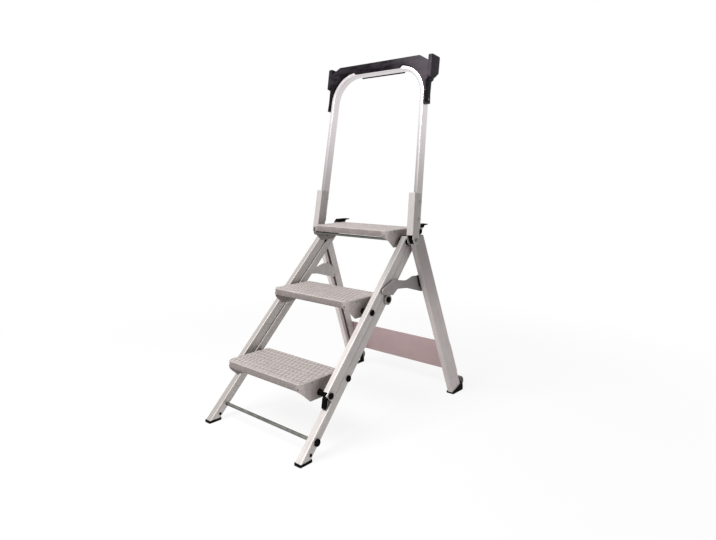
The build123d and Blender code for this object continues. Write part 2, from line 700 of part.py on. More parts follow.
def rear_cross_plate():
    """Wide plate on the backs of both legs."""
    corners = []
    for down in (CROSS_PLATE_START, CROSS_PLATE_END):
        corners.append((leg_x(leg_height(down)) - PLATE_SIDE_INSET, down))
    upper, lower = corners
    points = [
        (-upper[0], -upper[1]), (upper[0], -upper[1]), (lower[0], -lower[1]), (-lower[0], -lower[1]),
    ]
    place = along(LEG_HINGE, LEG_DOWN, 0, LEG_BACKWARDS, LEG_HALF_DEPTH)
    face = Plane(origin=(0, *place), x_dir=(1, 0, 0), z_dir=(0, -LEG_BACKWARDS[0], -LEG_BACKWARDS[1]))
    plate = extrude(face * outline(points, [PLATE_CORNER] * len(points)), -SHEET)
    for up in plate_rivet_places():
        hole = in_frame(leg_frame(0), rivet_shank(up))
        plate -= hole
        plate -= mirrored(hole)
    return plate


def rear_shoe():
    """Rubber shoe below the leg, with a skin outside the web and a lug each side of the wheel."""
    start = toe(SHOE_TOE_REACH, 0)[0]
    wheel_y, wheel_z = WHEEL_CENTRE
    web = leg_x(0) + SKIN_CLEARANCE
    outer = leg_x(0) + SHOE_SKIN
    cheek_face_x = SHOE_INNER_HALF_WIDTH + LUG_THICKNESS
    heel = wheel_y + HEEL_BEHIND_WHEEL
    rise = wheel_y - HEEL_RISE_START
    sole_end = wheel_y - WHEEL_RADIUS + SOLE_UNDER_WHEEL
    sole = block(SHOE_INNER_HALF_WIDTH, outer, start, sole_end, 0, SHOE_BASE)
    lug = Pos(wheel_y, wheel_z) * Circle(LUG_RADIUS)
    heel_top = wheel_z - HEEL_DROP
    skin_points = [(start, 0), (heel, 0), (heel, heel_top), (rise, wheel_z), (start, SHOE_BASE)]
    skin = side_sheet(outline(skin_points, [1, 3, 1, 2, 1]) + lug, web, outer)
    cheek_points = [(sole_end - CHEEK_OVERLAP, 0), (heel, 0), (heel, heel_top), (rise, wheel_z)]
    cheek = side_sheet(outline(cheek_points, [0, 3, 1, 2]) + lug, SHOE_INNER_HALF_WIDTH, cheek_face_x)
    gap = SHEET + TONGUE_FIT
    core = block(gap - LEG_WIDTH, -gap, -LEG_HALF_DEPTH + gap, 0, 0, BIG)
    tongue = in_frame(leg_frame(-60), core) & slice_between(SHOE_BASE - 1, TONGUE_TOP)
    shoe = sole + skin + cheek + tongue
    shoe -= round_bar(WHEEL_RADIUS + WHEEL_CLEARANCE, cheek_face_x, web, WHEEL_CENTRE)
    return shoe - bore(AXLE_RADIUS, WHEEL_CENTRE)


def wheel():
    """Plain wheel with a dished outer face."""
    outer = WHEEL_OUTER_HALF_WIDTH
    inner = outer - WHEEL_WIDTH
    disc = fillet(round_bar(WHEEL_RADIUS, inner, outer, WHEEL_CENTRE).edges(), WHEEL_EDGE)
    dish = round_bar(WHEEL_RADIUS - WHEEL_RIM, outer - WHEEL_DISH, outer + 1, WHEEL_CENTRE)
    hub = round_bar(WHEEL_HUB_RADIUS, inner, outer, WHEEL_CENTRE)
    return disc - dish + hub - bore(AXLE_RADIUS + RUNNING_FIT, WHEEL_CENTRE)


add_pair("rear_leg", rear_leg())
add("rear_cross_plate", rear_cross_plate())
add_both("plate_rivets", *[plate_rivet(up) for up in plate_rivet_places()])
add_pair("rear_shoe", rear_shoe())
add_both("wheel_axles", round_bar(AXLE_RADIUS, SHOE_INNER_HALF_WIDTH, leg_x(0) + SHOE_SKIN, WHEEL_CENTRE))
add_pair("leg_top_block", leg_top_block())
add_pair("wheel", wheel())


# Handrail
def post_x(height):
    """Outer face of a post, outside the leg's top end."""
    return leg_x(height) + POST_SIDE_PLAY + POST_WALL


POST_WIDTH = LEG_WIDTH + 2 * POST_SIDE_PLAY + 2 * POST_WALL
POST_FRONT_AT_HINGE = along(POST_HINGE, LEAN_UP, 0, LEAN_BACKWARDS, -POST_HINGE_DEPTH)


def post_front(height):
    """Side-view place on the posts' front face."""
    return POST_FRONT_AT_HINGE[0] + (height - POST_FRONT_AT_HINGE[1]) * tan(radians(LEAN)), height


def post_frame():
    low = POST_FRONT_AT_HINGE[1]
    high = low + RISE
    return bar_frame(post_front(low), post_front(high), post_x(low), post_x(high), LEAN_BACKWARDS)


def tube_line(height):
    """Side-view place on the middle line of the handrail tube."""
    front = post_front(height)
    return along(front, LEAN_UP, 0, LEAN_BACKWARDS, TUBE_BEHIND_POST_FRONT + TUBE_DEPTH / 2)


def tube_x(height):
    """Middle of an upright of the handrail tube."""
    return TUBE_HALF_WIDTH_AT_METRE - TUBE_TAPER * (height - 1000.0) - TUBE_WIDTH / 2


def handrail_post():
    """Short channel, open to the back, with ears that embrace the leg's top end."""
    frame = post_frame()
    length = (POST_TOP - POST_FRONT_AT_HINGE[1]) / LEAN_UP[1]
    shell = outline(
        [
            (-POST_WIDTH, POST_DEPTH), (-POST_WIDTH, 0), (0, 0), (0, POST_DEPTH),
            (-POST_WALL, POST_DEPTH), (-POST_WALL, POST_WALL),
            (POST_WALL - POST_WIDTH, POST_WALL), (POST_WALL - POST_WIDTH, POST_DEPTH),
        ],
        [0, POST_CORNER, POST_CORNER, 0, 0, POST_INNER_CORNER, POST_INNER_CORNER, 0],
    )
    post = extrude(frame * shell, length)
    post -= in_frame(frame, block(-BIG, BIG, -5, POST_WALL + 1, -5, POST_FRONT_START))
    for wall_x in (-POST_WALL / 2, POST_WALL / 2 - POST_WIDTH):
        ear = Pos(wall_x, POST_HINGE_DEPTH, 0) * Rot(0, 90, 0) * Cylinder(POST_EAR_RADIUS, POST_WALL)
        post += in_frame(frame, ear)
    post -= bore(PIN_RADIUS, POST_HINGE)
    for height in BOLT_HEIGHTS:
        post -= bore(BOLT_RADIUS, tube_line(height))
    return post


def post_hinge_pin():
    outer = post_x(POST_HINGE_HEIGHT)
    inner = outer - POST_WIDTH
    pin = round_bar(PIN_RADIUS, inner - 1, outer + 1, POST_HINGE)
    near = outer + POST_HEAD_GAP
    far = inner - POST_HEAD_GAP
    pin += round_bar(POST_HEAD_RADIUS, far - POST_HEAD_LENGTH, far, POST_HINGE)
    return pin + round_bar(POST_HEAD_RADIUS, near, near + POST_HEAD_LENGTH, POST_HINGE)


def post_bolt(height):
    """Bolt through post and tube, with a collar between tube and the post's inner wall."""
    place = tube_line(height)
    outer = post_x(height)
    inner = outer - POST_WIDTH
    tube_inner = tube_x(height) - TUBE_WIDTH / 2
    bolt = round_bar(BOLT_RADIUS, inner - 1, outer + 1, place)
    near = outer + BOLT_HEAD_GAP
    far = inner - BOLT_HEAD_GAP
    bolt += round_bar(BOLT_HEAD_RADIUS, near, near + BOLT_HEAD_LENGTH, place)
    bolt += round_bar(BOLT_HEAD_RADIUS, far - BOLT_HEAD_LENGTH, far, place)
    collar_start = inner + POST_WALL + BOLT_HEAD_GAP
    return bolt + round_bar(BOLT_COLLAR_RADIUS, collar_start, tube_inner - BOLT_HEAD_GAP, place)


def rail_loop_frame():
    """Frame of the handrail's plane: x across, y behind, z up, from the middle of the top bar."""
    centre = tube_line(TUBE_TOP_CENTRE)
    return Plane(origin=(0, *centre), x_dir=(1, 0, 0), z_dir=(0, *LEAN_UP))


TUBE_DROP = (TUBE_TOP_CENTRE - TUBE_BOTTOM) / LEAN_UP[1]
TUBE_TOP_X = tube_x(TUBE_TOP_CENTRE)
TUBE_BOTTOM_X = tube_x(TUBE_BOTTOM)
TUBE_SLOPE = TUBE_TAPER * LEAN_UP[1]


def tube_path():
    corners = [
        (-TUBE_BOTTOM_X, 0, -TUBE_DROP), (-TUBE_TOP_X, 0, 0),
        (TUBE_TOP_X, 0, 0), (TUBE_BOTTOM_X, 0, -TUBE_DROP),
    ]
    return FilletPolyline(*corners, radius=TUBE_BEND)


def swept_tube(width, depth):
    """Solid of flattened section along the handrail's path."""
    path = tube_path()
    start = Plane(origin=path @ 0, x_dir=(0, 1, 0), z_dir=path % 0)
    section = RectangleRounded(depth, width, min(width, depth) / 2 - 0.5)
    return sweep(start * section, path=path)


def handrail_tube():
    hollow = swept_tube(TUBE_WIDTH, TUBE_DEPTH)
    hollow -= swept_tube(TUBE_WIDTH - 2 * TUBE_WALL, TUBE_DEPTH - 2 * TUBE_WALL)
    tube = in_frame(rail_loop_frame(), hollow)
    for height in BOLT_HEIGHTS:
        hole = bore(BOLT_RADIUS, tube_line(height))
        tube -= hole
        tube -= mirrored(hole)
    return tube


def bend_point(radius, turn):
    """Point of the right-hand bend in the handrail's plane, turned up from level."""
    corner_half = (90 + degrees(atan(TUBE_SLOPE))) / 2
    centre_x = TUBE_TOP_X - TUBE_BEND / tan(radians(corner_half))
    return centre_x + radius * cos(radians(turn)), -TUBE_BEND + radius * sin(radians(turn))


def handrail_saddle():
    """Cap over the top bar and round both bends, with upright horns and arms along the uprights."""
    reach = TUBE_BEND + TUBE_WIDTH / 2 + SADDLE_FIT
    bend_top, bend_middle, bend_low = [bend_point(reach, turn) for turn in SADDLE_BEND_TURNS]
    arm_inner = bend_low[0] + TUBE_SLOPE * (bend_low[1] - ARM_BOTTOM) + SADDLE_FIT / 2
    inside = make_face(
        [
            Polyline((0, 0), (0, SADDLE_SKIRT), (SADDLE_SKIRT_END, SADDLE_SKIRT), bend_top),
            ThreePointArc(bend_top, bend_middle, bend_low),
            Polyline(bend_low, (arm_inner, ARM_BOTTOM - 20), (-20, ARM_BOTTOM - 20), (-20, 0), (0, 0)),
        ]
    )
    arm_outer = arm_inner + ARM_THICKNESS
    half = outline(
        [
            (-1, SADDLE_TOP), (SADDLE_TOP_END, SADDLE_TOP),
            (HORN_INNER - 5, HORN_STEP), (HORN_INNER, HORN_STEP),
            (HORN_INNER, HORN_BOTTOM), (arm_outer - 3, HORN_BOTTOM - 6), (arm_outer, ARM_BOTTOM),
            (arm_inner, ARM_BOTTOM), (arm_inner - 60, ARM_BOTTOM), (-1, ARM_BOTTOM),
        ],
        [0, 8, 2, 0, 0, 4, 3, 0, 0, 0],
    )
    upright = Plane.XZ.offset(-SADDLE_BACK)
    body = extrude(upright * half, SADDLE_BACK - SADDLE_FRONT)
    room_depth = SADDLE_BACK - SADDLE_FRONT - 2 * SADDLE_WALL
    deep = Plane.XZ.offset(-BIG / 2)
    body -= extrude(deep * inside, BIG)
    body -= block(-BIG, BIG, ARM_BACK, BIG, -BIG, HORN_BOTTOM - 8)
    horn = block(HORN_INNER - 4, HORN_OUTER, HORN_FRONT, HORN_BACK, HORN_BOTTOM, HORN_TOP)
    horn -= block(0, HORN_INNER, -BIG, BIG, HORN_STEP, BIG)
    horn = fillet(horn.edges().filter_by(Axis.X), HORN_ROUND)
    body += horn
    room = extrude(Plane.XZ.offset(SADDLE_WALL - SADDLE_BACK) * offset(half, -SADDLE_WALL), room_depth)
    body -= room & block(-BIG, HORN_INNER - SADDLE_WALL, -BIG, BIG, HORN_BOTTOM, BIG)
    body += block(-5, SADDLE_SKIRT_END, SADDLE_BACK - SADDLE_WALL, SADDLE_BACK, SADDLE_REAR_SKIRT, 0)
    body -= block(-5, 0, -BIG, BIG, -BIG, BIG)
    body += mirrored(body)
    body -= swept_tube(TUBE_WIDTH + TUBE_ROOM, TUBE_DEPTH + TUBE_ROOM)
    screw = saddle_screw()
    return in_frame(rail_loop_frame(), body) - screw - mirrored(screw)


def saddle_screw():
    """Round-headed screw through an arm into the tube."""
    bend_end = bend_point(TUBE_BEND + TUBE_WIDTH / 2, SADDLE_BEND_TURNS[-1])[0]
    face = bend_end - TUBE_SLOPE * (TUBE_BEND + SCREW_HEIGHT) + ARM_THICKNESS
    middle = Pos(face + SCREW_HEAD / 2, SCREW_PLACE, SCREW_HEIGHT)
    head = middle * Rot(0, 90, 0) * Cylinder(SCREW_RADIUS, SCREW_HEAD)
    return in_frame(rail_loop_frame(), head)


add_pair("handrail_post", handrail_post())
add_both("post_hinge_pins", post_hinge_pin())
add_both("post_bolts", *[post_bolt(height) for height in BOLT_HEIGHTS])
add("handrail_tube", handrail_tube())
add("handrail_saddle", handrail_saddle())
add_both("saddle_screws", saddle_screw())

os.makedirs("parts", exist_ok=True)
for name, shape in nodes.items():
    export_step(shape, f"parts/{name}.step")
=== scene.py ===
# %% [markdown]
# # A folding step stool with a tall handrail
# The CAD frame brings the construction: rails, legs, pivots and joints are in place, in metres. This lesson
# dresses it. Straight bars keep their CAD shape and get a finish, and the pieces whose charm is in their
# surface (treads, handrail, caps, feet, wheels) are worked out again with numpy, in millimetres.

# %% Load the frame
import json
import math

import bmesh
import bpy
import numpy as np
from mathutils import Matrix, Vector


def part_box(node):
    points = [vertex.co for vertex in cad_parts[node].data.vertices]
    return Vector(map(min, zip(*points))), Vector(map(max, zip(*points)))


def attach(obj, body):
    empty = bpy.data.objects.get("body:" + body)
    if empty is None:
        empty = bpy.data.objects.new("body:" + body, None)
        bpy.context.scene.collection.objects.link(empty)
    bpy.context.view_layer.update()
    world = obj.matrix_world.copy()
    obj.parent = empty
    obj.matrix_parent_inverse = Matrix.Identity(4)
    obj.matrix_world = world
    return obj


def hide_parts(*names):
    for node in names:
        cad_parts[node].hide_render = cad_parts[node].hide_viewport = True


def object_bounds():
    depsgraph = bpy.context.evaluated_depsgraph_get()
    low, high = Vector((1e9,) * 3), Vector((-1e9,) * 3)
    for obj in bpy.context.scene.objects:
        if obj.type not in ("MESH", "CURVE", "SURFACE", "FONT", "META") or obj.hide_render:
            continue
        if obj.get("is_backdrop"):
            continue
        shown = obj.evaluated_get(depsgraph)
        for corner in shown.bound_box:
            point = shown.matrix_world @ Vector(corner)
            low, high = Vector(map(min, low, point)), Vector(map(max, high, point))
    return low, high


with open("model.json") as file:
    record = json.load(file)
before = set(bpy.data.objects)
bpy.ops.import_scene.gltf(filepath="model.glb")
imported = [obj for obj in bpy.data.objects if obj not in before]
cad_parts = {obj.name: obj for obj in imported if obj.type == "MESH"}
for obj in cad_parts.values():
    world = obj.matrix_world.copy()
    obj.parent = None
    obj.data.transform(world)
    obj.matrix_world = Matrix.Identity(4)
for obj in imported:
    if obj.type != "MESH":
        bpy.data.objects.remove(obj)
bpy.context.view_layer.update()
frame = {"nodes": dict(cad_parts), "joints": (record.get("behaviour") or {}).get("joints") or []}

MM = 0.001
joint_place = {joint["name"]: np.array(joint["pos_m"]) / MM for joint in frame["joints"]}


def node_points(node):
    """Points of a CAD node in millimetres, as an array."""
    mesh = frame["nodes"][node].data
    flat = np.empty(3 * len(mesh.vertices))
    mesh.vertices.foreach_get("co", flat)
    return flat.reshape(-1, 3) / MM


def node_box(node):
    """Lowest and highest corner of a CAD node in millimetres."""
    return [np.array(corner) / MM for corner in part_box(node)]


# %% [markdown]
# The photograph was taken from the front right, a little above the platform, with the camera almost level.
# That is a place, a direction and a lens. A small vertical shift brings the stool to its height in the frame
# without tilting the uprights.

# %% Camera
CAMERA_PLACE = (1.5107, -1.6254, 0.9001)
CAMERA_FORWARD = (-0.6575, 0.7515, -0.0519)
CAMERA_LENS = 28.84
CAMERA_SENSOR = 36.0
CAMERA_SHIFT = -0.0925
camera_data = bpy.data.cameras.new("camera")
camera_data.lens = CAMERA_LENS
camera_data.sensor_width = CAMERA_SENSOR
camera_data.shift_y = CAMERA_SHIFT
camera = bpy.data.objects.new("camera", camera_data)
camera.location = CAMERA_PLACE
camera.rotation_euler = Vector(CAMERA_FORWARD).to_track_quat("-Z", "Y").to_euler()
scene = bpy.context.scene
scene.collection.objects.link(camera)
scene.camera = camera
scene.view_settings.view_transform = "Standard"
print("camera at", CAMERA_PLACE)

# %% [markdown]
# A shader is a small network. One function makes any node, feeds its sockets from numbers, colours or other
# nodes, and gives it its settings. In a Mix node socket 0 is the share. Sockets 6 and 7 mix colours, with
# the result in output 2, and sockets 2 and 3 mix numbers, with the result in output 0.
# Colours are written as the hex values that a painter would pick, and turned to linear light once.

# %% Nodes and colours
COLOUR_MIX = {"data_type": "RGBA"}
SMOOTH = {"interpolation_type": "SMOOTHSTEP"}
WHITE = (1.0, 1.0, 1.0, 1.0)


def add_node(tree, kind, feeds=None, **settings):
    """Add one node: feeds are values, sockets or nodes (first output), settings are its own properties."""
    made = tree.nodes.new("ShaderNode" + kind)
    for name, value in settings.items():
        setattr(made, name, value)
    for socket, value in (feeds or {}).items():
        if isinstance(value, bpy.types.Node):
            value = value.outputs[0]
        if isinstance(value, bpy.types.NodeSocket):
            tree.links.new(value, made.inputs[socket])
        else:
            made.inputs[socket].default_value = value
    return made


def colour(hex_value):
    """Linear RGBA of an sRGB hex value: the usual curve, channel by channel."""
    channels = np.array(list(bytes.fromhex(hex_value))) / 255.0
    linear = np.where(channels <= 0.04045, channels / 12.92, ((channels + 0.055) / 1.055) ** 2.4)
    return (*linear.tolist(), 1.0)


def new_material(name):
    """Empty node material, its tree and the coordinates of its object."""
    material = bpy.data.materials.new(name)
    material.use_nodes = True
    material.node_tree.nodes.clear()
    position = add_node(material.node_tree, "TexCoord").outputs["Object"]
    return material, material.node_tree, position


def close_finish(tree, shade, gloss, height, bump, more):
    """End of a finish: bump from a height, with its strength and depth in millimetres, shader and output."""
    strength, depth = bump
    relief = add_node(tree, "Bump", {"Height": height, "Strength": strength, "Distance": depth * MM})
    feeds = {"Base Color": shade, "Roughness": gloss, "Normal": relief, **more}
    add_node(tree, "OutputMaterial", {"Surface": add_node(tree, "BsdfPrincipled", feeds)})


print("helpers for nodes ready")

# %% [markdown]
# The studio: a white room. A wide soft lamp stands high on the left in front of the stool, so the faces that
# look forward are bright and the outer webs fall to a middle grey, as in the photograph. The world is a pale
# fill. To the camera, and in reflections, it is plain white.

# %% World and lamp
WORLD_FILL = 0.3
KEY_PLACE = (-0.35, -2.2, 3.2)
KEY_AIM = (0.0, 0.0, 0.6)
KEY_SIZE = 1.8
KEY_POWER = 152.0


def seen_rays(tree):
    """1 for rays that show a thing, directly, in gloss or through glass, and 0 for those that only light."""
    paths = add_node(tree, "LightPath")
    seen = add_node(tree, "Math", {
        0: paths.outputs["Is Camera Ray"], 1: paths.outputs["Is Glossy Ray"],
    }, operation="MAXIMUM")
    return add_node(tree, "Math", {0: seen, 1: paths.outputs["Is Transmission Ray"]}, operation="MAXIMUM")


world = bpy.data.worlds.new("white_room")
scene.world = world
world.use_nodes = True
tree = world.node_tree
tree.nodes.clear()
room_light = add_node(tree, "MapRange", {"Value": seen_rays(tree), "To Min": WORLD_FILL, "To Max": 1.0})
room = add_node(tree, "Background", {"Color": WHITE, "Strength": room_light})
add_node(tree, "OutputWorld", {"Surface": room})
key_data = bpy.data.lights.new("key_lamp", "AREA")
key_data.size = KEY_SIZE
key_data.energy = KEY_POWER
key_lamp = bpy.data.objects.new("key_lamp", key_data)
key_lamp.location = KEY_PLACE
key_way = Vector(KEY_AIM) - Vector(KEY_PLACE)
key_lamp.rotation_euler = key_way.to_track_quat("-Z", "Y").to_euler()
scene.collection.objects.link(key_lamp)
print("world fill", WORLD_FILL, "and one soft lamp of", KEY_POWER, "watts")

# %% [markdown]
# The floor is a white sheet that keeps the stool's shadow. Seen directly or in a reflection, most of what it
# shows is plain white, so only a soft shadow is left near the feet, and further out it fades into the room.

# %% Floor
FLOOR_HALF = 6.0
FADE_START = 0.9
FADE_END = 2.2
FLOOR_WHITE = 0.88
floor_material, tree, position = new_material("white_paper_sheet")
distance = add_node(tree, "VectorMath", {0: position}, operation="LENGTH")
fade = add_node(tree, "MapRange", {
    "Value": distance.outputs["Value"], "From Min": FADE_START, "From Max": FADE_END,
    "To Min": FLOOR_WHITE, "To Max": 1.0,
}, **SMOOTH)
share = add_node(tree, "Math", {0: seen_rays(tree), 1: fade}, operation="MULTIPLY")
paper = add_node(tree, "BsdfDiffuse", {"Color": colour("F4F4F4")})
white = add_node(tree, "Emission", {"Color": WHITE, "Strength": 1.0})
mixed = add_node(tree, "MixShader", {0: share, 1: paper, 2: white})
add_node(tree, "OutputMaterial", {"Surface": mixed})
floor_mesh = bpy.data.meshes.new("floor")
floor_corners = np.array([(-1, -1, 0), (1, -1, 0), (1, 1, 0), (-1, 1, 0)]) * FLOOR_HALF
floor_mesh.from_pydata(floor_corners.tolist(), [], [(0, 1, 2, 3)])
floor_mesh.materials.append(floor_material)
floor = bpy.data.objects.new("floor", floor_mesh)
scene.collection.objects.link(floor)
floor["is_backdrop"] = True
print("floor", 2 * FLOOR_HALF, "m wide")

# %% [markdown]
# Extruded aluminium, satin anodised. The die leaves fine lines along the bar, and the oxide layer makes the
# metal soft and slightly milky, so it is only partly metallic. The bars lean, so a Mapping node first turns
# the pattern until its long direction lies along the bar. Real die lines are a few tenths of a millimetre
# apart. They are drawn coarser here, or no picture could show them.

# %% Extruded aluminium
DIE_LINE_WIDTH = 8.0
DIE_LINE_LENGTH = 420.0
BAR_CLOUD = 70.0
BAR_CLOUD_SHARE = 0.4
BAR_NOISE = {"Detail": 3.0, "Roughness": 0.6}
NOISE_SPAN = {"From Min": 0.3, "From Max": 0.7}
BAR_GLOSS_DRIFT = 0.06
# Every bump is a strength and a depth.
BAR_BUMP = (0.05, 0.2)
FACE_HALF = 0.15


def extruded_aluminium(name, lean_degrees, light, dark, roughness, metallic=0.2, painted_shade_part=None):
    """Satin anodised bar: noise stretched along a bar that leans so far from level, seen from the side.

    A painted shade part is darker colour that stands in for shade and darker reflections. It is given by the
    height of one flat face above the leaning line through the origin, or None for all faces, by the two
    places along that line between which it changes, and by its shades below and above the change, where None
    is the bar's own shade.
    """
    material, tree, position = new_material(name)
    turned = add_node(tree, "Mapping", {
        "Vector": position, "Rotation": (-math.radians(lean_degrees), 0.0, 0.0),
    })
    across = 1.0 / (DIE_LINE_WIDTH * MM)
    stretched = add_node(tree, "Mapping", {
        "Vector": turned, "Scale": (across, 1.0 / (DIE_LINE_LENGTH * MM), across),
    })
    lines = add_node(tree, "TexNoise", {"Vector": stretched, "Scale": 1.0, **BAR_NOISE})
    clouds = add_node(tree, "TexNoise", {"Vector": position, "Scale": 1.0 / (BAR_CLOUD * MM), **BAR_NOISE})
    both = add_node(tree, "Mix", {0: BAR_CLOUD_SHARE, 2: lines, 3: clouds})
    tint = add_node(tree, "MapRange", {"Value": both, **NOISE_SPAN})
    shade = add_node(tree, "Mix", {0: tint, 6: colour(dark), 7: colour(light)}, **COLOUR_MIX)
    bar_shade = shade.outputs[2]
    # Painted shade: a darker colour mixed in along the bar, or on one face, in place of shade and darker
    # reflections.
    if painted_shade_part is not None:
        height, start, end, *shades = painted_shade_part
        below, above = (bar_shade if hex_value is None else colour(hex_value) for hex_value in shades)
        parts = add_node(tree, "SeparateXYZ", {0: turned})
        along = add_node(tree, "MapRange", {
            "Value": parts.outputs["Y"], "From Min": start * MM, "From Max": end * MM,
        }, **SMOOTH)
        painted_shade = add_node(tree, "Mix", {0: along, 6: below, 7: above}, **COLOUR_MIX)
        if height is not None:
            on_face = add_node(tree, "Math", {
                0: parts.outputs["Z"], 1: height * MM, 2: FACE_HALF * MM,
            }, operation="COMPARE")
            painted_shade = add_node(tree, "Mix", {0: on_face, 6: bar_shade, 7: painted_shade.outputs[2]}, **COLOUR_MIX)
        bar_shade = painted_shade.outputs[2]
    gloss = add_node(tree, "MapRange", {
        "Value": lines, **NOISE_SPAN,
        "To Min": roughness - BAR_GLOSS_DRIFT, "To Max": roughness + BAR_GLOSS_DRIFT,
    })
    close_finish(tree, bar_shade, gloss, lines, BAR_BUMP, {"Metallic": metallic})
    return material


print("die lines", DIE_LINE_WIDTH, "mm wide, clouds of", BAR_CLOUD, "mm")

# %% [markdown]
# Some stretches of the bars get painted shade, darker colour that stands in for shade and darker
# reflections, at places measured on the frame. The right link bar darkens from the middle tread upwards, the
# right rail gets a painted shade line in the slit under the link bar, and the front faces on the left are
# darker all along, more so in their slit. The right rear leg darkens towards its top, and the left leg gets
# a lighter copy of its finish as painted light. The handrail tube is polished before it is anodised, so it
# mirrors more of the white room, and a painted darker reflection takes it down towards the posts.

# %% Finishes of the bars
RAIL_LEAN = 46.4
LEG_LEAN = 110.55
POST_LEAN = 81.8
RAIL_FRONT = 20.3
SLIT_SHADE_RAMP = 1.0
# Painted shade comes in on the right link bar from below the middle tread's pivot to below its upper end,
# on the leg between two places below its top, and on the tube between two above its lower ends.
LINK_PAINTED_SHADE = (30.0, 40.0)
LEG_PAINTED_SHADE = (430.0, 60.0)
TUBE_PAINTED_SHADE = (90.0, 470.0)


def lean_way(degrees):
    """Direction along a bar that leans so far from level, seen from the side."""
    return np.array([0.0, math.cos(math.radians(degrees)), math.sin(math.radians(degrees))])


rail_way = lean_way(RAIL_LEAN)
rail_up = np.array([0.0, -rail_way[2], rail_way[1]])
link_points = node_points("link_bar_right")
link_start = (link_points @ rail_way).min()
link_end = (link_points @ rail_way).max()
link_face = (link_points @ rail_up).max()
rail_face = joint_place["bottom_tread_fold"] @ rail_up + RAIL_FRONT
front_step = joint_place["link_swing"] - joint_place["bottom_tread_fold"]
link_shade_start = (joint_place["middle_tread_fold"] + front_step) @ rail_way - LINK_PAINTED_SHADE[0]
link_shade_end = link_end - LINK_PAINTED_SHADE[1]
slit_shade_start = link_start - SLIT_SHADE_RAMP
# Painted shade on the front faces: a dark line in each rail's slit, a darker top on the right link bar,
# darker faces on the left.
front_faces = {
    "main_rail_right": ("anodised_aluminium_rail", rail_face, slit_shade_start, link_start, None, "ACA6A2"),
    "link_bar_right": ("anodised_aluminium_link", link_face, link_shade_start, link_shade_end, None, "928D8A"),
    "main_rail_left": ("dull_anodised_aluminium_rail", rail_face, slit_shade_start, link_start, "A29C98", "7E7976"),
    "link_bar_left": ("dull_anodised_aluminium_link", link_face, link_start, link_end, "A6A09C", "A29C98"),
}
finish_of = {}
for node, (name, *face) in front_faces.items():
    finish_of[node] = extruded_aluminium(name, RAIL_LEAN, "D2CCC9", "B4AEAB", 0.42, painted_shade_part=face)
leg_end = (node_points("rear_leg_right") @ lean_way(LEG_LEAN)).max()
# Painted shade: the right leg darkens towards its top.
finish_of["rear_leg_right"] = extruded_aluminium(
    "anodised_aluminium_leg", LEG_LEAN, "DAD1CF", "BEB5B3", 0.45,
    painted_shade_part=(None, leg_end - LEG_PAINTED_SHADE[0], leg_end - LEG_PAINTED_SHADE[1], None, "9A9391"),
)
# Painted light: the left leg is a lighter copy of the same leg finish.
finish_of["rear_leg_left"] = extruded_aluminium(
    "lit_copy_anodised_aluminium_leg", LEG_LEAN, "E2D9D7", "CAC1BF", 0.45,
)
tube_start = (node_points("handrail_tube") @ lean_way(POST_LEAN)).min()
# Painted darker reflection: the tube's colour darkens towards its lower ends.
tube_metal = extruded_aluminium(
    "anodised_aluminium_tube", POST_LEAN, "E2DCDE", "D6D0D2", 0.26, metallic=0.96,
    painted_shade_part=(None, tube_start + TUBE_PAINTED_SHADE[0], tube_start + TUBE_PAINTED_SHADE[1], "A9A3A3", None),
)
post_metal = extruded_aluminium("anodised_aluminium_post", POST_LEAN, "BAB4B2", "AAA4A2", 0.45)
print("bar finishes for", ", ".join(finish_of), "tube and posts")

# %% [markdown]
# The other finishes share one recipe: a mottled colour between two close shades, a roughness that wanders
# with it, and a fine grain in the surface. What differs is the size of the mottling and of the grain, in
# millimetres, and how shiny or metallic the material is. A metal keeps the shader's own IOR.

# %% Mottled finishes
MOTTLE_SPAN = {"From Min": 0.32, "From Max": 0.68}
CLOUD_NOISE = {"Detail": 4.0, "Roughness": 0.6}
GRAIN_NOISE = {"Detail": 2.0, "Roughness": 0.5}
GLOSS_DRIFT = 0.05
GRAIN_DEPTH = 0.3
METAL_FROM = 0.1


def mottled_finish(name, light, dark, roughness, metallic=0.0, cloud=30.0, grain=1.2, bump=0.15,
                   ior=1.5, specular=0.5, painted_shade=None):
    """Surface with slow clouds of shade and a fine grain, both from noise of a size given in millimetres.

    Bump is how strongly the grain shows. Painted shade is a darker colour that stands in for shade, and the
    two places along the depth of the stool between which it takes over.
    """
    material, tree, position = new_material(name)
    clouds = add_node(tree, "TexNoise", {"Vector": position, "Scale": 1.0 / (cloud * MM), **CLOUD_NOISE})
    grains = add_node(tree, "TexNoise", {"Vector": position, "Scale": 1.0 / (grain * MM), **GRAIN_NOISE})
    tint = add_node(tree, "MapRange", {"Value": clouds, **MOTTLE_SPAN})
    shade = add_node(tree, "Mix", {0: tint, 6: colour(dark), 7: colour(light)}, **COLOUR_MIX)
    # Painted shade: a darker colour that takes over along the depth of the stool.
    if painted_shade is not None:
        painted_shade_colour, start, end = painted_shade
        parts = add_node(tree, "SeparateXYZ", {0: position})
        depth = add_node(tree, "MapRange", {
            "Value": parts.outputs["Y"], "From Min": start * MM, "From Max": end * MM,
        }, **SMOOTH)
        shade = add_node(tree, "Mix", {0: depth, 6: shade.outputs[2], 7: colour(painted_shade_colour)}, **COLOUR_MIX)
    gloss = add_node(tree, "MapRange", {
        "Value": clouds, **NOISE_SPAN,
        "To Min": roughness - GLOSS_DRIFT, "To Max": roughness + GLOSS_DRIFT,
    })
    more = {"Metallic": metallic}
    if metallic < METAL_FROM:
        more.update({"IOR": ior, "Specular IOR Level": specular})
    close_finish(tree, shade.outputs[2], gloss, grains, (bump, GRAIN_DEPTH), more)
    return material


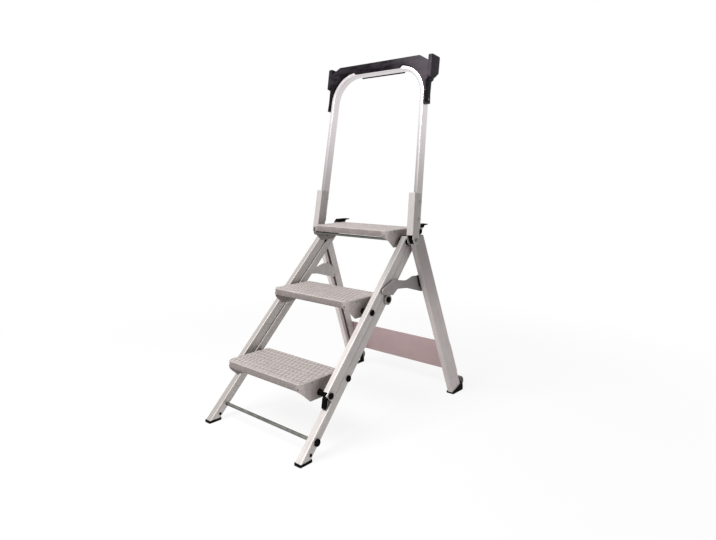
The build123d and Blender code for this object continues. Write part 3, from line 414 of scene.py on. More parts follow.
# Pressed aluminium sheet is mill-dull and darker than the anodised bars, and painted shade makes it greyest
# near the leg.
finish_of["brace_arm_right"] = mottled_finish(
    "pressed_aluminium_brace", "A29A99", "8A8382", 0.5, 0.4, grain=2.0, bump=0.08,
    painted_shade=("898683", 25.0, 95.0),
)
# The left brace is a lighter copy of the same sheet, as painted light, and its clouds are wider.
finish_of["brace_arm_left"] = mottled_finish(
    "lit_copy_aluminium_brace", "C6BFBD", "B2ABA9", 0.5, 0.4, cloud=60.0, grain=2.0, bump=0.08,
)
# The rolled plate between the legs has a faint rosy cast and is nearly even.
finish_of["rear_cross_plate"] = mottled_finish(
    "rolled_aluminium_plate", "BFA6A7", "B59C9D", 0.5, 0.3, cloud=90.0, grain=3.0, bump=0.05,
)
# Zinc-plated steel is grey and cloudy, with a soft shine.
rod_steel = mottled_finish(
    "zinc_plated_steel", "7E807A", "5F615C", 0.4, 0.8, cloud=18.0, grain=1.5, bump=0.08,
)
# Nylon and rubber mouldings are black, with a fine matt texture from the mould.
nylon = mottled_finish(
    "moulded_black_nylon", "0E0B0A", "070505", 0.65, cloud=14.0, grain=0.9, bump=0.2,
    ior=1.53, specular=0.03,
)
rubber = mottled_finish(
    "moulded_black_rubber", "121111", "0A0909", 0.75, cloud=10.0, grain=1.6, bump=0.3,
    ior=1.52, specular=0.05,
)
# The wheels' polypropylene is a middle grey with a waxy shine.
wheel_plastic = mottled_finish(
    "moulded_grey_polypropylene", "8B8883", "77746F", 0.55, cloud=12.0, bump=0.2, ior=1.49,
)
print("mottled finishes ready, the last is", wheel_plastic.name)

# %% [markdown]
# A worked-out surface is a table of points, row by row, and quads that join neighbours. These helpers turn
# such tables into pieces. Where a shape has an open end, one flat face closes it. Doubled points are merged
# and the faces are turned outwards.

# %% From arrays to pieces
MERGE_DISTANCE = 0.002
SHARP_DEGREES = 40.0
stood_for = set()


def grid_quads(rows, columns, round_rows):
    """Quads of a grid of points counted row by row; a round row joins its last point to its first."""
    row = np.arange(rows - 1)[:, None]
    column = np.arange(columns if round_rows else columns - 1)[None, :]
    following = (column + 1) % columns
    corners = [row * columns + column, row * columns + following]
    corners += [(row + 1) * columns + following, (row + 1) * columns + column]
    return np.stack(np.broadcast_arrays(*corners), axis=-1).reshape(-1, 4)


def closed_rings(rings):
    """Skin over rings of points, an array of (ring, point, 3), with a flat face over each end."""
    count, around = rings.shape[:2]
    faces = grid_quads(count, around, True).tolist()
    faces.append(list(range(around))[::-1])
    faces.append(list(range((count - 1) * around, count * around)))
    return rings.reshape(-1, 3), faces


def add_piece(name, skins, body, material, replaced=(), sharp=SHARP_DEGREES, values=None):
    """One object from several skins given in millimetres, riding on a body and standing for CAD nodes."""
    points = np.concatenate([skin[0] for skin in skins])
    starts = np.cumsum([0] + [len(skin[0]) for skin in skins])
    faces = [[corner + start for corner in face] for skin, start in zip(skins, starts) for face in skin[1]]
    mesh = bpy.data.meshes.new(name)
    mesh.from_pydata((points * MM).tolist(), [], faces)
    for attribute, numbers in (values or {}).items():
        layer = mesh.attributes.new(attribute, "FLOAT", "POINT")
        layer.data.foreach_set("value", numbers.astype(np.float32))
    shape = bmesh.new()
    shape.from_mesh(mesh)
    bmesh.ops.remove_doubles(shape, verts=shape.verts, dist=MERGE_DISTANCE * MM)
    bmesh.ops.recalc_face_normals(shape, faces=shape.faces)
    shape.to_mesh(mesh)
    shape.free()
    mesh.polygons.foreach_set("use_smooth", np.ones(len(mesh.polygons), bool))
    mesh.set_sharp_from_angle(angle=math.radians(sharp))
    mesh.materials.append(material)
    piece = bpy.data.objects.new(name, mesh)
    scene.collection.objects.link(piece)
    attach(piece, body)
    if replaced:
        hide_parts(*replaced)
        stood_for.update(replaced)
    print("made", name, "with", len(mesh.polygons), "faces")


print("points closer than", MERGE_DISTANCE, "mm are merged")

# %% [markdown]
# Two shapes come back all over the stool. One is a flat outline with rounded corners. The other is a turned
# piece, a profile carried round the axis that it turns on, which lies across the stool if no other is given.


# %% Outlines and turned pieces
def rounded_outline(corners, radii, steps=7):
    """Closed outline: at each corner an arc of its radius, tangent to both sides, in equal turns."""
    corner = np.asarray(corners, float)
    radius = np.asarray(radii, float)[:, None]
    before = np.roll(corner, 1, axis=0) - corner
    after = np.roll(corner, -1, axis=0) - corner
    before /= np.linalg.norm(before, axis=1, keepdims=True)
    after /= np.linalg.norm(after, axis=1, keepdims=True)
    half = np.arccos(np.clip((before * after).sum(1), -1, 1))[:, None] / 2
    reach = radius / np.tan(half)
    middle = before + after
    centre = corner + middle / np.linalg.norm(middle, axis=1, keepdims=True) * radius / np.sin(half)
    first = corner + before * reach - centre
    last = corner + after * reach - centre
    turn = (math.pi - 2 * half)[:, None, :]
    share = np.linspace(0.0, 1.0, steps)[None, :, None]
    arcs = np.sin((1 - share) * turn) * first[:, None] + np.sin(share * turn) * last[:, None]
    return (centre[:, None] + arcs / np.sin(turn)).reshape(-1, 2)


def outward(outline):
    """Normals of a closed outline, longer at corners so that a shift along them keeps sides parallel."""
    following = np.roll(outline, -1, axis=0)
    ahead = following - outline
    ahead /= np.maximum(np.linalg.norm(ahead, axis=1, keepdims=True), 1e-9)
    behind = np.roll(ahead, 1, axis=0)
    normal = np.stack([ahead[:, 1] + behind[:, 1], -ahead[:, 0] - behind[:, 0]], axis=1)
    normal /= np.maximum((normal ** 2).sum(1, keepdims=True), 0.5) / 2
    area = (outline[:, 0] * following[:, 1] - outline[:, 1] * following[:, 0]).sum()
    return normal * np.sign(area)


def slab(outline, low, high, edge, place, steps=5):
    """Thick plate with rounded edges: the outline is drawn in by a quarter circle at both faces."""
    normal = outward(outline)
    turn = np.linspace(0.0, math.pi / 2, steps)
    inset = edge * (1 - np.sin(turn))
    rise = edge * (1 - np.cos(turn))
    insets = np.concatenate([inset, inset[::-1]])[:, None, None]
    depth = np.concatenate([low + rise, high - rise[::-1]])[:, None]
    flat = outline[None] - normal[None] * insets
    return closed_rings(place(flat[..., 0], flat[..., 1], depth))


def side_view(reach, height, across):
    """Points of a side view: reach and height in its plane, across along the width of the stool."""
    return np.stack(np.broadcast_arrays(across, reach, height), axis=-1)


def turned_piece(profile, centre, axis=(1.0, 0.0, 0.0), sides=40):
    """Profile of (along, radius) pairs carried round an axis through a centre."""
    along, radius = np.asarray(profile, float).T[:, :, None, None]
    turn = np.linspace(0.0, 2 * math.pi, sides, endpoint=False)[None, :, None]
    sideways = np.cross((0.0, 0.0, 1.0), axis)
    upright = np.cross(axis, sideways)
    swept = radius * (np.cos(turn) * sideways + np.sin(turn) * upright)
    return closed_rings(centre + along * axis + swept)


def on_side(skin, side):
    """A skin of the right side: as it is where side is 1, mirrored to the left where it is -1."""
    return skin[0] * (side, 1.0, 1.0), skin[1]


SIDES = {"right": 1, "left": -1}
print("helpers for shapes ready")

# %% [markdown]
# A tread is pressed from sheet: a flat top with a rolled edge, and a skirt that is shallow in front and
# deepens round the corners into side plates with sloped noses. Here the top is a grid whose rows shorten
# towards the rounded corners, and its rim is carried outwards, down the skirt, and back up inside as a wall.
# The anti-slip relief is part of the grid, not painted on: short bars from front to back that fade out near
# the rim, beside the seam, and in a plain band in front.

# %% Tread measures
TREAD_HALF = 193.0
TREAD_FRONT = -175.0
TREAD_BACK = 21.0
TREAD_TOP = 14.0
TREAD_LIP = -11.0
TREAD_WALL = 2.5
EDGE_ROUND = 4.0
ROLL_STEPS = 7
FRONT_CORNER = 26.0
BACK_CORNER = 8.5
CORNER_STEPS = 15
# Lower edge of a side plate from front to back, as reach and height.
SIDE_EDGE = np.array([
    (TREAD_FRONT, TREAD_LIP), (-127.0, -54.0), (-60.0, -54.0), (17.0, -16.0), (TREAD_BACK, TREAD_LIP),
])
HEM_IN = 0.4
HEM_UP = 0.6
GRID_STEP = 1.45
# Spacing of the bars across the tread and along it.
BAR_PITCH = (19.0, 25.0)
BAR_LENGTH = 22.4
BAR_WIDTH = 12.6
BAR_RISE = 0.7
BAR_CROWN = 1.25
# Bars start to rise this far from the rim or the seam, over this length.
RIM_CALM = (1.5, 3.0)
SEAM_CALM = (3.0, 2.0)
SEAM_PLACE = -84.0
SEAM_WIDTH = 1.6
SEAM_RISE = 0.9
FRONT_BAND = 9.0
BAND_FADE = 2.0
TREAD_FLAT = TREAD_TOP - BAR_RISE


def bar_relief(x, y):
    """Height of the bars, 0 to 1: one rounded bar from front to back in each cell of a staggered grid."""
    row = np.floor(y / BAR_PITCH[1])
    shifted = x + (row % 2) * BAR_PITCH[0] / 2
    across = shifted % BAR_PITCH[0] - BAR_PITCH[0] / 2
    along = y % BAR_PITCH[1] - BAR_PITCH[1] / 2
    past_end = np.maximum(np.abs(along) - (BAR_LENGTH - BAR_WIDTH) / 2, 0.0)
    from_spine = np.hypot(past_end, across) / (BAR_WIDTH / 2)
    return np.clip(BAR_CROWN - from_spine ** 2, 0.0, 1.0)


def tread_rows():
    """Rows of the flat top: reach, half width, which shortens at the corners, and turn of the rim."""
    front_arc = FRONT_CORNER - EDGE_ROUND
    back_arc = BACK_CORNER - EDGE_ROUND
    turn = np.linspace(0.0, math.pi / 2, CORNER_STEPS)
    front = TREAD_FRONT + EDGE_ROUND
    back = TREAD_BACK - EDGE_ROUND
    half = TREAD_HALF - EDGE_ROUND
    middle = np.arange(front + front_arc + GRID_STEP, back - back_arc, GRID_STEP)
    reach = [front + front_arc * (1 - np.cos(turn)), middle, back - back_arc * (1 - np.sin(turn))]
    width = [half - front_arc * (1 - np.sin(turn)), np.full(len(middle), half)]
    width.append(half - back_arc * (1 - np.cos(turn)))
    lean = [turn - math.pi / 2, np.zeros(len(middle)), turn]
    return np.concatenate(reach), np.concatenate(width), np.concatenate(lean)


def tread_top(reach, width):
    """Grid of the top in plan, and from 0 to 1 the height of bars and seam, and the plain band."""
    share = np.linspace(-1.0, 1.0, int(2 * TREAD_HALF / GRID_STEP))
    x = width[:, None] * share[None, :]
    y = np.broadcast_to(reach[:, None], x.shape)
    inland = np.minimum(width[:, None] - np.abs(x), np.minimum(y - reach[0], reach[-1] - y))
    from_seam = np.abs(y - SEAM_PLACE)
    calm = np.clip((inland - RIM_CALM[0]) / RIM_CALM[1], 0.0, 1.0)
    calm = calm * np.clip((from_seam - SEAM_CALM[0]) / SEAM_CALM[1], 0.0, 1.0)
    band = np.clip((reach[0] + FRONT_BAND - y) / BAND_FADE, 0.0, 1.0)
    seam = np.exp(-(from_seam / SEAM_WIDTH) ** 2)
    return x, y, bar_relief(x, y) * calm * (1.0 - band), seam, band


def skirt_bottom(reach, across):
    """Lower edge of the skirt: level lip in front and behind, a sloped nose and a long heel at the sides."""
    side = np.interp(reach, *SIDE_EDGE.T)
    return np.where(np.abs(across) < TREAD_HALF - FRONT_CORNER, TREAD_LIP, side)


def skirt_rings(edge, normal):
    """Rings from the rim outwards: a quarter circle, the skirt to its hem, and the wall inside."""
    turn = np.linspace(0.0, math.pi / 2, ROLL_STEPS)[1:]
    plan = [edge + normal * EDGE_ROUND * np.sin(t) for t in turn]
    height = [np.full(len(edge), TREAD_FLAT - EDGE_ROUND * (1 - np.cos(t))) for t in turn]
    outside = plan[-1]
    inside = outside - normal * TREAD_WALL
    bottom = skirt_bottom(outside[:, 1], outside[:, 0])
    roof = np.full(len(edge), TREAD_FLAT - EDGE_ROUND)
    plan += [outside, outside - normal * HEM_IN, inside + normal * HEM_IN, inside, inside]
    height += [bottom + HEM_UP, bottom, bottom, bottom + HEM_UP, roof]
    return np.stack([np.column_stack(pair) for pair in zip(plan, height)]), outside[:, 1]


print("tread", 2 * TREAD_HALF, "mm wide,", TREAD_BACK - TREAD_FRONT, "mm deep, bars", BAR_RISE, "mm high")

# %% [markdown]
# Shoes polish the raised bars, and dirt stays in between. The rolled edge is lighter, partly from wear and
# partly as a painted highlight, and the side plates are painted lighter in front and darker further back, as
# painted light and shade. How far all that goes is a number from 0 to 1 that is kept with each point.

# %% Tread shell
VALLEY_WEAR = 0.5
BAND_WEAR = 0.75
EDGE_WEAR_AND_HIGHLIGHT = 0.7
WORN_RINGS = 4
SKIRT_WEAR = 0.12
# Places from front to back, and the painted light and shade of the side plates there.
SIDE_PAINTED_LIGHT = ((-165.0, -125.0, -85.0), (1.0, 0.85, 0.42))
UNDERSIDE_WEAR = 0.3


def rim_wear_and_light(reach, normal, count):
    """Wear and painted light per ring: rolled edge most, side plates lighter in front, underside even."""
    # Side plates: painted light in front and painted shade further back.
    side_painted_light = np.interp(reach, *SIDE_PAINTED_LIGHT)
    skirt_wear_and_light = SKIRT_WEAR + (side_painted_light - SKIRT_WEAR) * np.abs(normal[:, 0])
    # The rolled edge is lighter partly from wear and partly as a painted highlight.
    rolled = np.arange(count)[:, None] < WORN_RINGS
    wear = np.where(rolled, np.maximum(EDGE_WEAR_AND_HIGHLIGHT, skirt_wear_and_light), skirt_wear_and_light)
    wear[-2:] = UNDERSIDE_WEAR
    return wear


def tread_shell():
    """Top grid with its relief and its rim carried round as a skirt, about the rear pivot, and its wear."""
    reach, width, lean = tread_rows()
    x, y, relief, seam, band = tread_top(reach, width)
    top = np.stack([x, y, TREAD_FLAT + BAR_RISE * np.maximum(relief, SEAM_RISE * seam)], axis=-1)
    rows, columns = x.shape
    index = np.arange(rows * columns).reshape(rows, columns)
    rim = np.concatenate([index[0, :-1], index[:-1, -1], index[-1, :0:-1], index[:0:-1, 0]])
    quarter = np.full(columns - 1, math.pi / 2)
    rim_turn = np.concatenate([-quarter, lean[:-1], quarter, math.pi - lean[:0:-1]])
    normal = np.stack([np.cos(rim_turn), np.sin(rim_turn)], axis=1)
    rings, rim_reach = skirt_rings(top.reshape(-1, 3)[rim, :2], normal)
    points = np.concatenate([top.reshape(-1, 3), rings.reshape(-1, 3)])
    around = len(rim)
    ring_index = np.concatenate([rim, rows * columns + np.arange(len(rings) * around)])
    walls = ring_index[grid_quads(len(rings) + 1, around, True)]
    faces = grid_quads(rows, columns, False).tolist() + walls.tolist() + [ring_index[-around:].tolist()]
    raised = VALLEY_WEAR + (1.0 - VALLEY_WEAR) * np.maximum(relief, seam)
    top_wear = np.maximum(raised, BAND_WEAR * band)
    wear_and_painted_light = np.concatenate([top_wear.ravel(), rim_wear_and_light(rim_reach, normal, len(rings)).ravel()])
    return points, faces, wear_and_painted_light


shell_points, shell_faces, shell_wear_and_light = tread_shell()
print("tread shell:", len(shell_points), "points")

# %% [markdown]
# The treads' aluminium is warmer and duller than the bars. The finish reads the wear and painted light that
# were kept with the points: bright on the bars, darker and rougher in the valleys, with clouds and grit over
# both.

# %% Tread finish
TREAD_CLOUD = 45.0
TREAD_GRIT = 5.0
CLOUD_SWING = 0.5
GRIT_SWING = 1.5
WEAR_SHIFT = -1.1
DIRTY_ROUGHNESS = 0.62
WORN_ROUGHNESS = 0.46
TREAD_BUMP = (0.12, 0.3)
TREAD_SHARP = 50.0
tread_metal, tree, position = new_material("pressed_aluminium_tread")
raised = add_node(tree, "Attribute", attribute_name="relief").outputs["Fac"]
clouds = add_node(tree, "TexNoise", {"Vector": position, "Scale": 1.0 / (TREAD_CLOUD * MM), **CLOUD_NOISE})
grit = add_node(tree, "TexNoise", {
    "Vector": position, "Scale": 1.0 / (TREAD_GRIT * MM), "Detail": 3.0, "Roughness": 0.7,
})
speck = add_node(tree, "Math", {0: grit, 1: GRIT_SWING, 2: WEAR_SHIFT}, operation="MULTIPLY_ADD")
wear = add_node(tree, "Math", {0: clouds, 1: CLOUD_SWING, 2: speck}, operation="MULTIPLY_ADD")
wear = add_node(tree, "Math", {0: raised, 1: wear}, operation="ADD", use_clamp=True)
shade = add_node(tree, "Mix", {0: wear, 6: colour("847C79"), 7: colour("C7BEBB")}, **COLOUR_MIX)
gloss = add_node(tree, "MapRange", {"Value": wear, "To Min": DIRTY_ROUGHNESS, "To Max": WORN_ROUGHNESS})
close_finish(tree, shade.outputs[2], gloss, grit, TREAD_BUMP, {"Metallic": 0.1, "Specular IOR Level": 0.1})
tread_body = {"bottom": "bottom_tread", "middle": "middle_tread", "platform": "platform"}
tread_pivots = {tread: joint_place[body + "_fold"] for tread, body in tread_body.items()}
for tread, pivot in tread_pivots.items():
    add_piece(
        tread + "_tread_shell", [(shell_points + pivot, shell_faces)], tread_body[tread],
        tread_metal, (tread + "_pan", tread + "_side_right", tread + "_side_left"), TREAD_SHARP,
        {"relief": shell_wear_and_light},
    )

# %% [markdown]
# The handrail is one flattened tube, bent twice. Its path lies in a plane that leans back a little, so it is
# drawn flat first and then stood up: across, up along the lean, and back. The section is a rounded rectangle
# carried along the path, turned with it at the bends.

# %% Handrail tube
METRE = 1000.0
POST_HINGE_DEPTH = 25.0
POST_TO_TUBE = 36.5
TUBE_TOP = 1326.0
TUBE_BOTTOM = 702.0
TUBE_BEND = 120.0
BEND_STEPS = 25
TUBE_END = 0.01
TUBE_WIDTH = 20.0
TUBE_DEPTH = 36.0
TUBE_ROUND = 6.0
ROUND_STEPS = 9
TUBE_TAPER = 0.03
TUBE_HALF_AT_METRE = 241.5
lean_up = lean_way(POST_LEAN)
lean_back = np.array([0.0, lean_up[2], -lean_up[1]])
post_front = joint_place["handrail_tilt"] - POST_HINGE_DEPTH * lean_back
loop_centre = post_front + lean_up * (TUBE_TOP - post_front[2]) / lean_up[2] + POST_TO_TUBE * lean_back
tube_drop = (TUBE_TOP - TUBE_BOTTOM) / lean_up[2]
tube_top_half = TUBE_HALF_AT_METRE - TUBE_TAPER * (TUBE_TOP - METRE)
tube_bottom_half = TUBE_HALF_AT_METRE - TUBE_TAPER * (TUBE_BOTTOM - METRE)


def leaning_plane(across, up, back):
    """Points of the handrail's plane, from the middle of its top bar."""
    flat = np.stack(np.broadcast_arrays(across, up, back), axis=-1)
    return loop_centre + flat @ np.stack([np.array([1.0, 0.0, 0.0]), lean_up, lean_back])


def tube_rings():
    """Rounded section carried along two uprights, two bends and the top bar."""
    corners = [(-tube_bottom_half, -tube_drop), (-tube_top_half, 0)]
    corners += [(tube_top_half, 0), (tube_bottom_half, -tube_drop)]
    path = rounded_outline(corners, [TUBE_END, TUBE_BEND, TUBE_BEND, TUBE_END], BEND_STEPS)
    path = path[BEND_STEPS - 1:1 - BEND_STEPS]
    ahead = np.gradient(path, axis=0)
    ahead /= np.linalg.norm(ahead, axis=1, keepdims=True)
    sideways = np.stack([-ahead[:, 1], ahead[:, 0]], axis=1)
    half = np.array([TUBE_WIDTH, TUBE_DEPTH]) / 2
    section = rounded_outline(half * [(-1, -1), (1, -1), (1, 1), (-1, 1)], [TUBE_ROUND] * 4, ROUND_STEPS)
    flat = path[:, None] + sideways[:, None] * section[None, :, :1]
    return leaning_plane(flat[..., 0], flat[..., 1], section[None, :, 1])


add_piece("handrail_loop", [closed_rings(tube_rings())], "handrail", tube_metal,
          ["handrail_tube"])

# %% [markdown]
# The saddle is a black moulding over the top of the handrail: a deep bar that swells into both corners, with
# an upright horn at each end and an arm down each upright. One section is carried from the foot of one arm,
# round the bend, over the top bar and down the other side. At each station it goes from the tube's outside
# to the nearest of the straight edges that bound the saddle, so the swollen corners come out by themselves.

# %% Saddle
SADDLE_TOP = 38.0
SADDLE_SKIRT = -3.0
SADDLE_SKIRT_END = 117.0
SADDLE_FRONT = -22.5
SADDLE_BACK = 26.0
SADDLE_SIDE = 257.0
SADDLE_FIT = 0.4
# The sloped edge between side and top.
SLOPE_ENDS = ((252.0, 14.0), (210.0, 38.0))
ARM_BOTTOM = -152.0
ARM_THICKNESS = 13.0
ARM_BACK = 12.0
ARM_TOP = -60.0
ARM_OVERLAP = 4.0
ARM_STEPS = 8
BACK_FADE = 1.5
# First and last turn round the bend in degrees, and the number of stations.
BEND_TURNS = (3.0, 84.0, 40)
BAR_STEPS = 12
OUTER_ROUND = 4.5
INNER_ROUND = 1.8
ROUND_TURN = 15.0
NUDGE = 1e-6
PAINTED_LIGHT_FROM = 40.0
PAINTED_LIGHT_TO = 215.0
FRONT_PAINTED_LIGHT = 0.04
bend_reach = TUBE_BEND + TUBE_WIDTH / 2 + SADDLE_FIT
tube_slope = TUBE_TAPER * lean_up[2]
bend_half = (math.pi / 2 + math.atan(tube_slope)) / 2
bend_centre = np.array([tube_top_half - TUBE_BEND / math.tan(bend_half), -TUBE_BEND])


def saddle_stations():
    """Inner and outer points of the right half: up the arm, round the bend and along the top bar."""
    rise = np.linspace(ARM_BOTTOM, -TUBE_BEND + ARM_OVERLAP, ARM_STEPS)
    arm_x = bend_centre[0] + bend_reach + tube_slope * (rise[-1] - rise)
    arm_side = np.interp(rise, [ARM_BOTTOM, rise[-1]], [arm_x[0] + ARM_THICKNESS, SADDLE_SIDE])
    turn = np.radians(np.linspace(*BEND_TURNS))
    way = np.column_stack([np.cos(turn), np.sin(turn)])
    slope_way = np.array([SLOPE_ENDS[1][1] - SLOPE_ENDS[0][1], SLOPE_ENDS[0][0] - SLOPE_ENDS[1][0]])
    edges = np.array([(1.0, 0.0), (0.0, 1.0), slope_way])
    room = np.array([SADDLE_SIDE, SADDLE_TOP, slope_way @ SLOPE_ENDS[0]]) - edges @ bend_centre
    bend_out = bend_centre + way * (room / (way @ edges.T)).min(axis=1, keepdims=True)
    along = np.linspace(SADDLE_SKIRT_END, 0.0, BAR_STEPS)
    bar_in = np.column_stack([along, np.full(BAR_STEPS, SADDLE_SKIRT)])
    bar_out = np.column_stack([along, np.full(BAR_STEPS, SADDLE_TOP)])
    inner = np.concatenate([np.column_stack([arm_x, rise]), bend_centre + bend_reach * way, bar_in])
    outer = np.concatenate([np.column_stack([arm_side, rise]), bend_out, bar_out])
    return inner, outer


def saddle_rings():
    """Rounded rectangle between inner and outer point at each station of both halves, and its painted light.
    """
    inner, outer = saddle_stations()
    inner = np.concatenate([inner, inner[-2::-1] * (-1, 1)])
    outer = np.concatenate([outer, outer[-2::-1] * (-1, 1)])
    length = np.linalg.norm(outer - inner, axis=1)
    back = ARM_BACK + (SADDLE_BACK - ARM_BACK) / (1 + np.exp(-(outer[:, 1] - ARM_TOP) / BACK_FADE))
    turn = np.radians(np.arange(180.0, 540.1, ROUND_TURN))
    at_outer = np.cos(turn + NUDGE) > 0
    at_back = np.sin(turn - NUDGE) > 0
    round_off = np.where(at_outer, OUTER_ROUND, INNER_ROUND)
    middle = np.where(at_outer, length[:, None] - OUTER_ROUND, INNER_ROUND)
    depth = np.where(at_back, back[:, None] - round_off, SADDLE_FRONT + round_off)
    reach = middle + round_off * np.cos(turn)
    across = (outer - inner) / length[:, None]
    flat = inner[:, None] + across[:, None] * reach[..., None]
    # Painted shade: the outer sides of the arms are black.
    shaded_outer_side = at_outer & (outer[:, 1] < ARM_TOP)[:, None]
    # Painted light: lighter towards the right end.
    wear_and_painted_light = np.clip((flat[..., 0] - PAINTED_LIGHT_FROM) / (PAINTED_LIGHT_TO - PAINTED_LIGHT_FROM), 0.0, 1.0)
    painted_light = np.where(shaded_outer_side, 0.0, FRONT_PAINTED_LIGHT + (1.0 - FRONT_PAINTED_LIGHT) * wear_and_painted_light)
    return leaning_plane(flat[..., 0], flat[..., 1], depth + round_off * np.sin(turn)), painted_light


saddle_skin, saddle_painted_light = saddle_rings()
print("saddle:", saddle_skin.shape[0], "stations of", saddle_skin.shape[1], "points")

# %% [markdown]
# The horns are thick plates drawn in the saddle's side view, and a thin skirt hangs down behind the top bar.

# %% Horns and rear skirt
HORN_INNER = 254.0
HORN_OUTER = 273.0
HORN_EDGE = 3.0
HORN_SIDE = [(-24.0, -54.0), (4.0, -57.0), (31.0, -32.0), (31.0, 35.0), (-24.0, 35.0)]
HORN_ROUNDS = [6.0, 9.0, 8.0, 6.0, 5.0]
# Painted light of the right and the left horn.
HORN_PAINTED_LIGHT = (0.75, 0.15)
SKIRT_HALF = SADDLE_SKIRT_END - 4.0
SKIRT_BOTTOM = -11.0
SKIRT_ROUNDS = [3.0, 3.0, 1.5, 1.5]
SKIRT_EDGE = 1.0
SADDLE_WALL = 3.5


def leaning_side_view(back, up, across):
    """Points of the saddle's side view."""
    return leaning_plane(across, up, back)


horn_line = rounded_outline(HORN_SIDE, HORN_ROUNDS)
right_horn = slab(horn_line, HORN_INNER, HORN_OUTER, HORN_EDGE, leaning_side_view)
left_horn = on_side(right_horn, SIDES["left"])
skirt_corners = [(-SKIRT_HALF, SKIRT_BOTTOM), (SKIRT_HALF, SKIRT_BOTTOM)]
skirt_corners += [(SKIRT_HALF, 0.0), (-SKIRT_HALF, 0.0)]
skirt_line = rounded_outline(skirt_corners, SKIRT_ROUNDS)
rear_skirt = slab(skirt_line, SADDLE_BACK - SADDLE_WALL, SADDLE_BACK, SKIRT_EDGE, leaning_plane)
saddle_skins = [closed_rings(saddle_skin), right_horn, left_horn, rear_skirt]
painted_lights = [saddle_painted_light.ravel()]
for skin, grey in zip(saddle_skins[1:], (*HORN_PAINTED_LIGHT, 0.0)):
    painted_lights.append(np.full(len(skin[0]), grey))
print("saddle skins:", len(saddle_skins))

# %% [markdown]
# The saddle is black ABS, painted greyer towards the right as painted light, with the outer sides of the
# arms painted black as shade. The finish reads the painted light that was kept with the points, with a
# streaky pattern on top so that the change is not a clean ramp.

# %% Saddle finish
SADDLE_STREAK = (60.0, 40.0, 22.0)
SADDLE_GRAIN = 1.3
STREAK_SWING = 1.4
BLACK_ROUGHNESS = 0.4
GREY_ROUGHNESS = 0.5
SADDLE_BUMP = (0.22, 0.3)
saddle_plastic, tree, position = new_material("moulded_black_abs")
painted_light = add_node(tree, "Attribute", attribute_name="painted_light").outputs["Fac"]
streaked = add_node(tree, "Mapping", {
    "Vector": position, "Scale": tuple(1.0 / (size * MM) for size in SADDLE_STREAK),
})
clouds = add_node(tree, "TexNoise", {"Vector": streaked, "Scale": 1.0, "Detail": 4.0, "Roughness": 0.65})
grain = add_node(tree, "TexNoise", {"Vector": position, "Scale": 1.0 / (SADDLE_GRAIN * MM), **GRAIN_NOISE})
drift = add_node(tree, "Math", {0: clouds, 1: STREAK_SWING, 2: -STREAK_SWING / 2}, operation="MULTIPLY_ADD")
amount = add_node(tree, "Math", {0: painted_light, 1: drift}, operation="ADD", use_clamp=True)
shade = add_node(tree, "Mix", {0: amount, 6: colour("0B060C"), 7: colour("494349")}, **COLOUR_MIX)
gloss = add_node(tree, "MapRange", {"Value": amount, "To Min": BLACK_ROUGHNESS, "To Max": GREY_ROUGHNESS})
close_finish(tree, shade.outputs[2], gloss, grain, SADDLE_BUMP, {"IOR": 1.54, "Specular IOR Level": 0.06})
add_piece("handrail_saddle_cap", saddle_skins, "handrail", saddle_plastic,
          ["handrail_saddle"], values={"painted_light": np.concatenate(painted_lights)})

# %% [markdown]
# Every pivot ends in a black button and is kept off its bar by a spacer. Seen from the side a pivot is a
# point, and the CAD node's points near it tell how far the fitting reaches across.

# %% Pivot buttons and spacers
CAP_RADIUS = 11.0
ROD_CAP_RADIUS = 12.2
FRONT_BUSH_RADIUS = 11.0
REAR_BUSH_RADIUS = 8.0
NEAR_PIVOT = 1.0
BUTTON_FOOT = 0.5
BUTTON_SHOULDER = 1.6
BUTTON_DIMPLE = 0.7
DIMPLE_MARGIN = 1.7
BUTTON_STEPS = 7
# One end of a spacer: places along it, and the change of radius there.
SPOOL_END = ((0.0, -0.8), (0.8, 0.0), (3.2, 0.0), (4.2, -0.9))


def span_across(node, pivot, radius, side):
    """Nearest and furthest distance across of a node's points round one pivot, on one side."""
    points = node_points(node)
    near = np.hypot(points[:, 1] - pivot[1], points[:, 2] - pivot[2]) < radius + NEAR_PIVOT
    across = points[near, 0] * side
    return across[across > 0].min(), across[across > 0].max()


def button_profile(thickness, radius):
    """Foot, straight wall, quarter-circle shoulder and a shallow round dimple in the end face."""
    turn = np.linspace(0.0, math.pi / 2, BUTTON_STEPS)
    wall = thickness - BUTTON_SHOULDER * (1 - np.sin(turn))
    rounded = np.column_stack([wall, radius - BUTTON_SHOULDER * (1 - np.cos(turn))])
    reach = np.linspace(1.0, 0.02, BUTTON_STEPS)
    dish = thickness - BUTTON_DIMPLE * (1 - reach ** 2)
    dished = np.column_stack([dish, (radius - DIMPLE_MARGIN * BUTTON_SHOULDER) * reach])
    return np.concatenate([[(0.0, radius - BUTTON_FOOT), (BUTTON_FOOT, radius)], rounded, dished])


def spool_profile(length, radius):
    """Spacer with a collar at each end and a slightly thinner waist."""
    half = [(along, radius + change) for along, change in SPOOL_END]
    return half + [(length - along, size) for along, size in half[::-1]]


def fittings(profile, node, pivot, radius):
    """Buttons or spacers over the reach of their CAD node, one on each side."""
    skins = []
    for side in SIDES.values():
        start, end = span_across(node, pivot, radius, side)
        skin = turned_piece(profile(end - start, radius), pivot * (0, 1, 1) + (start, 0, 0))
        skins.append(on_side(skin, side))
    return skins


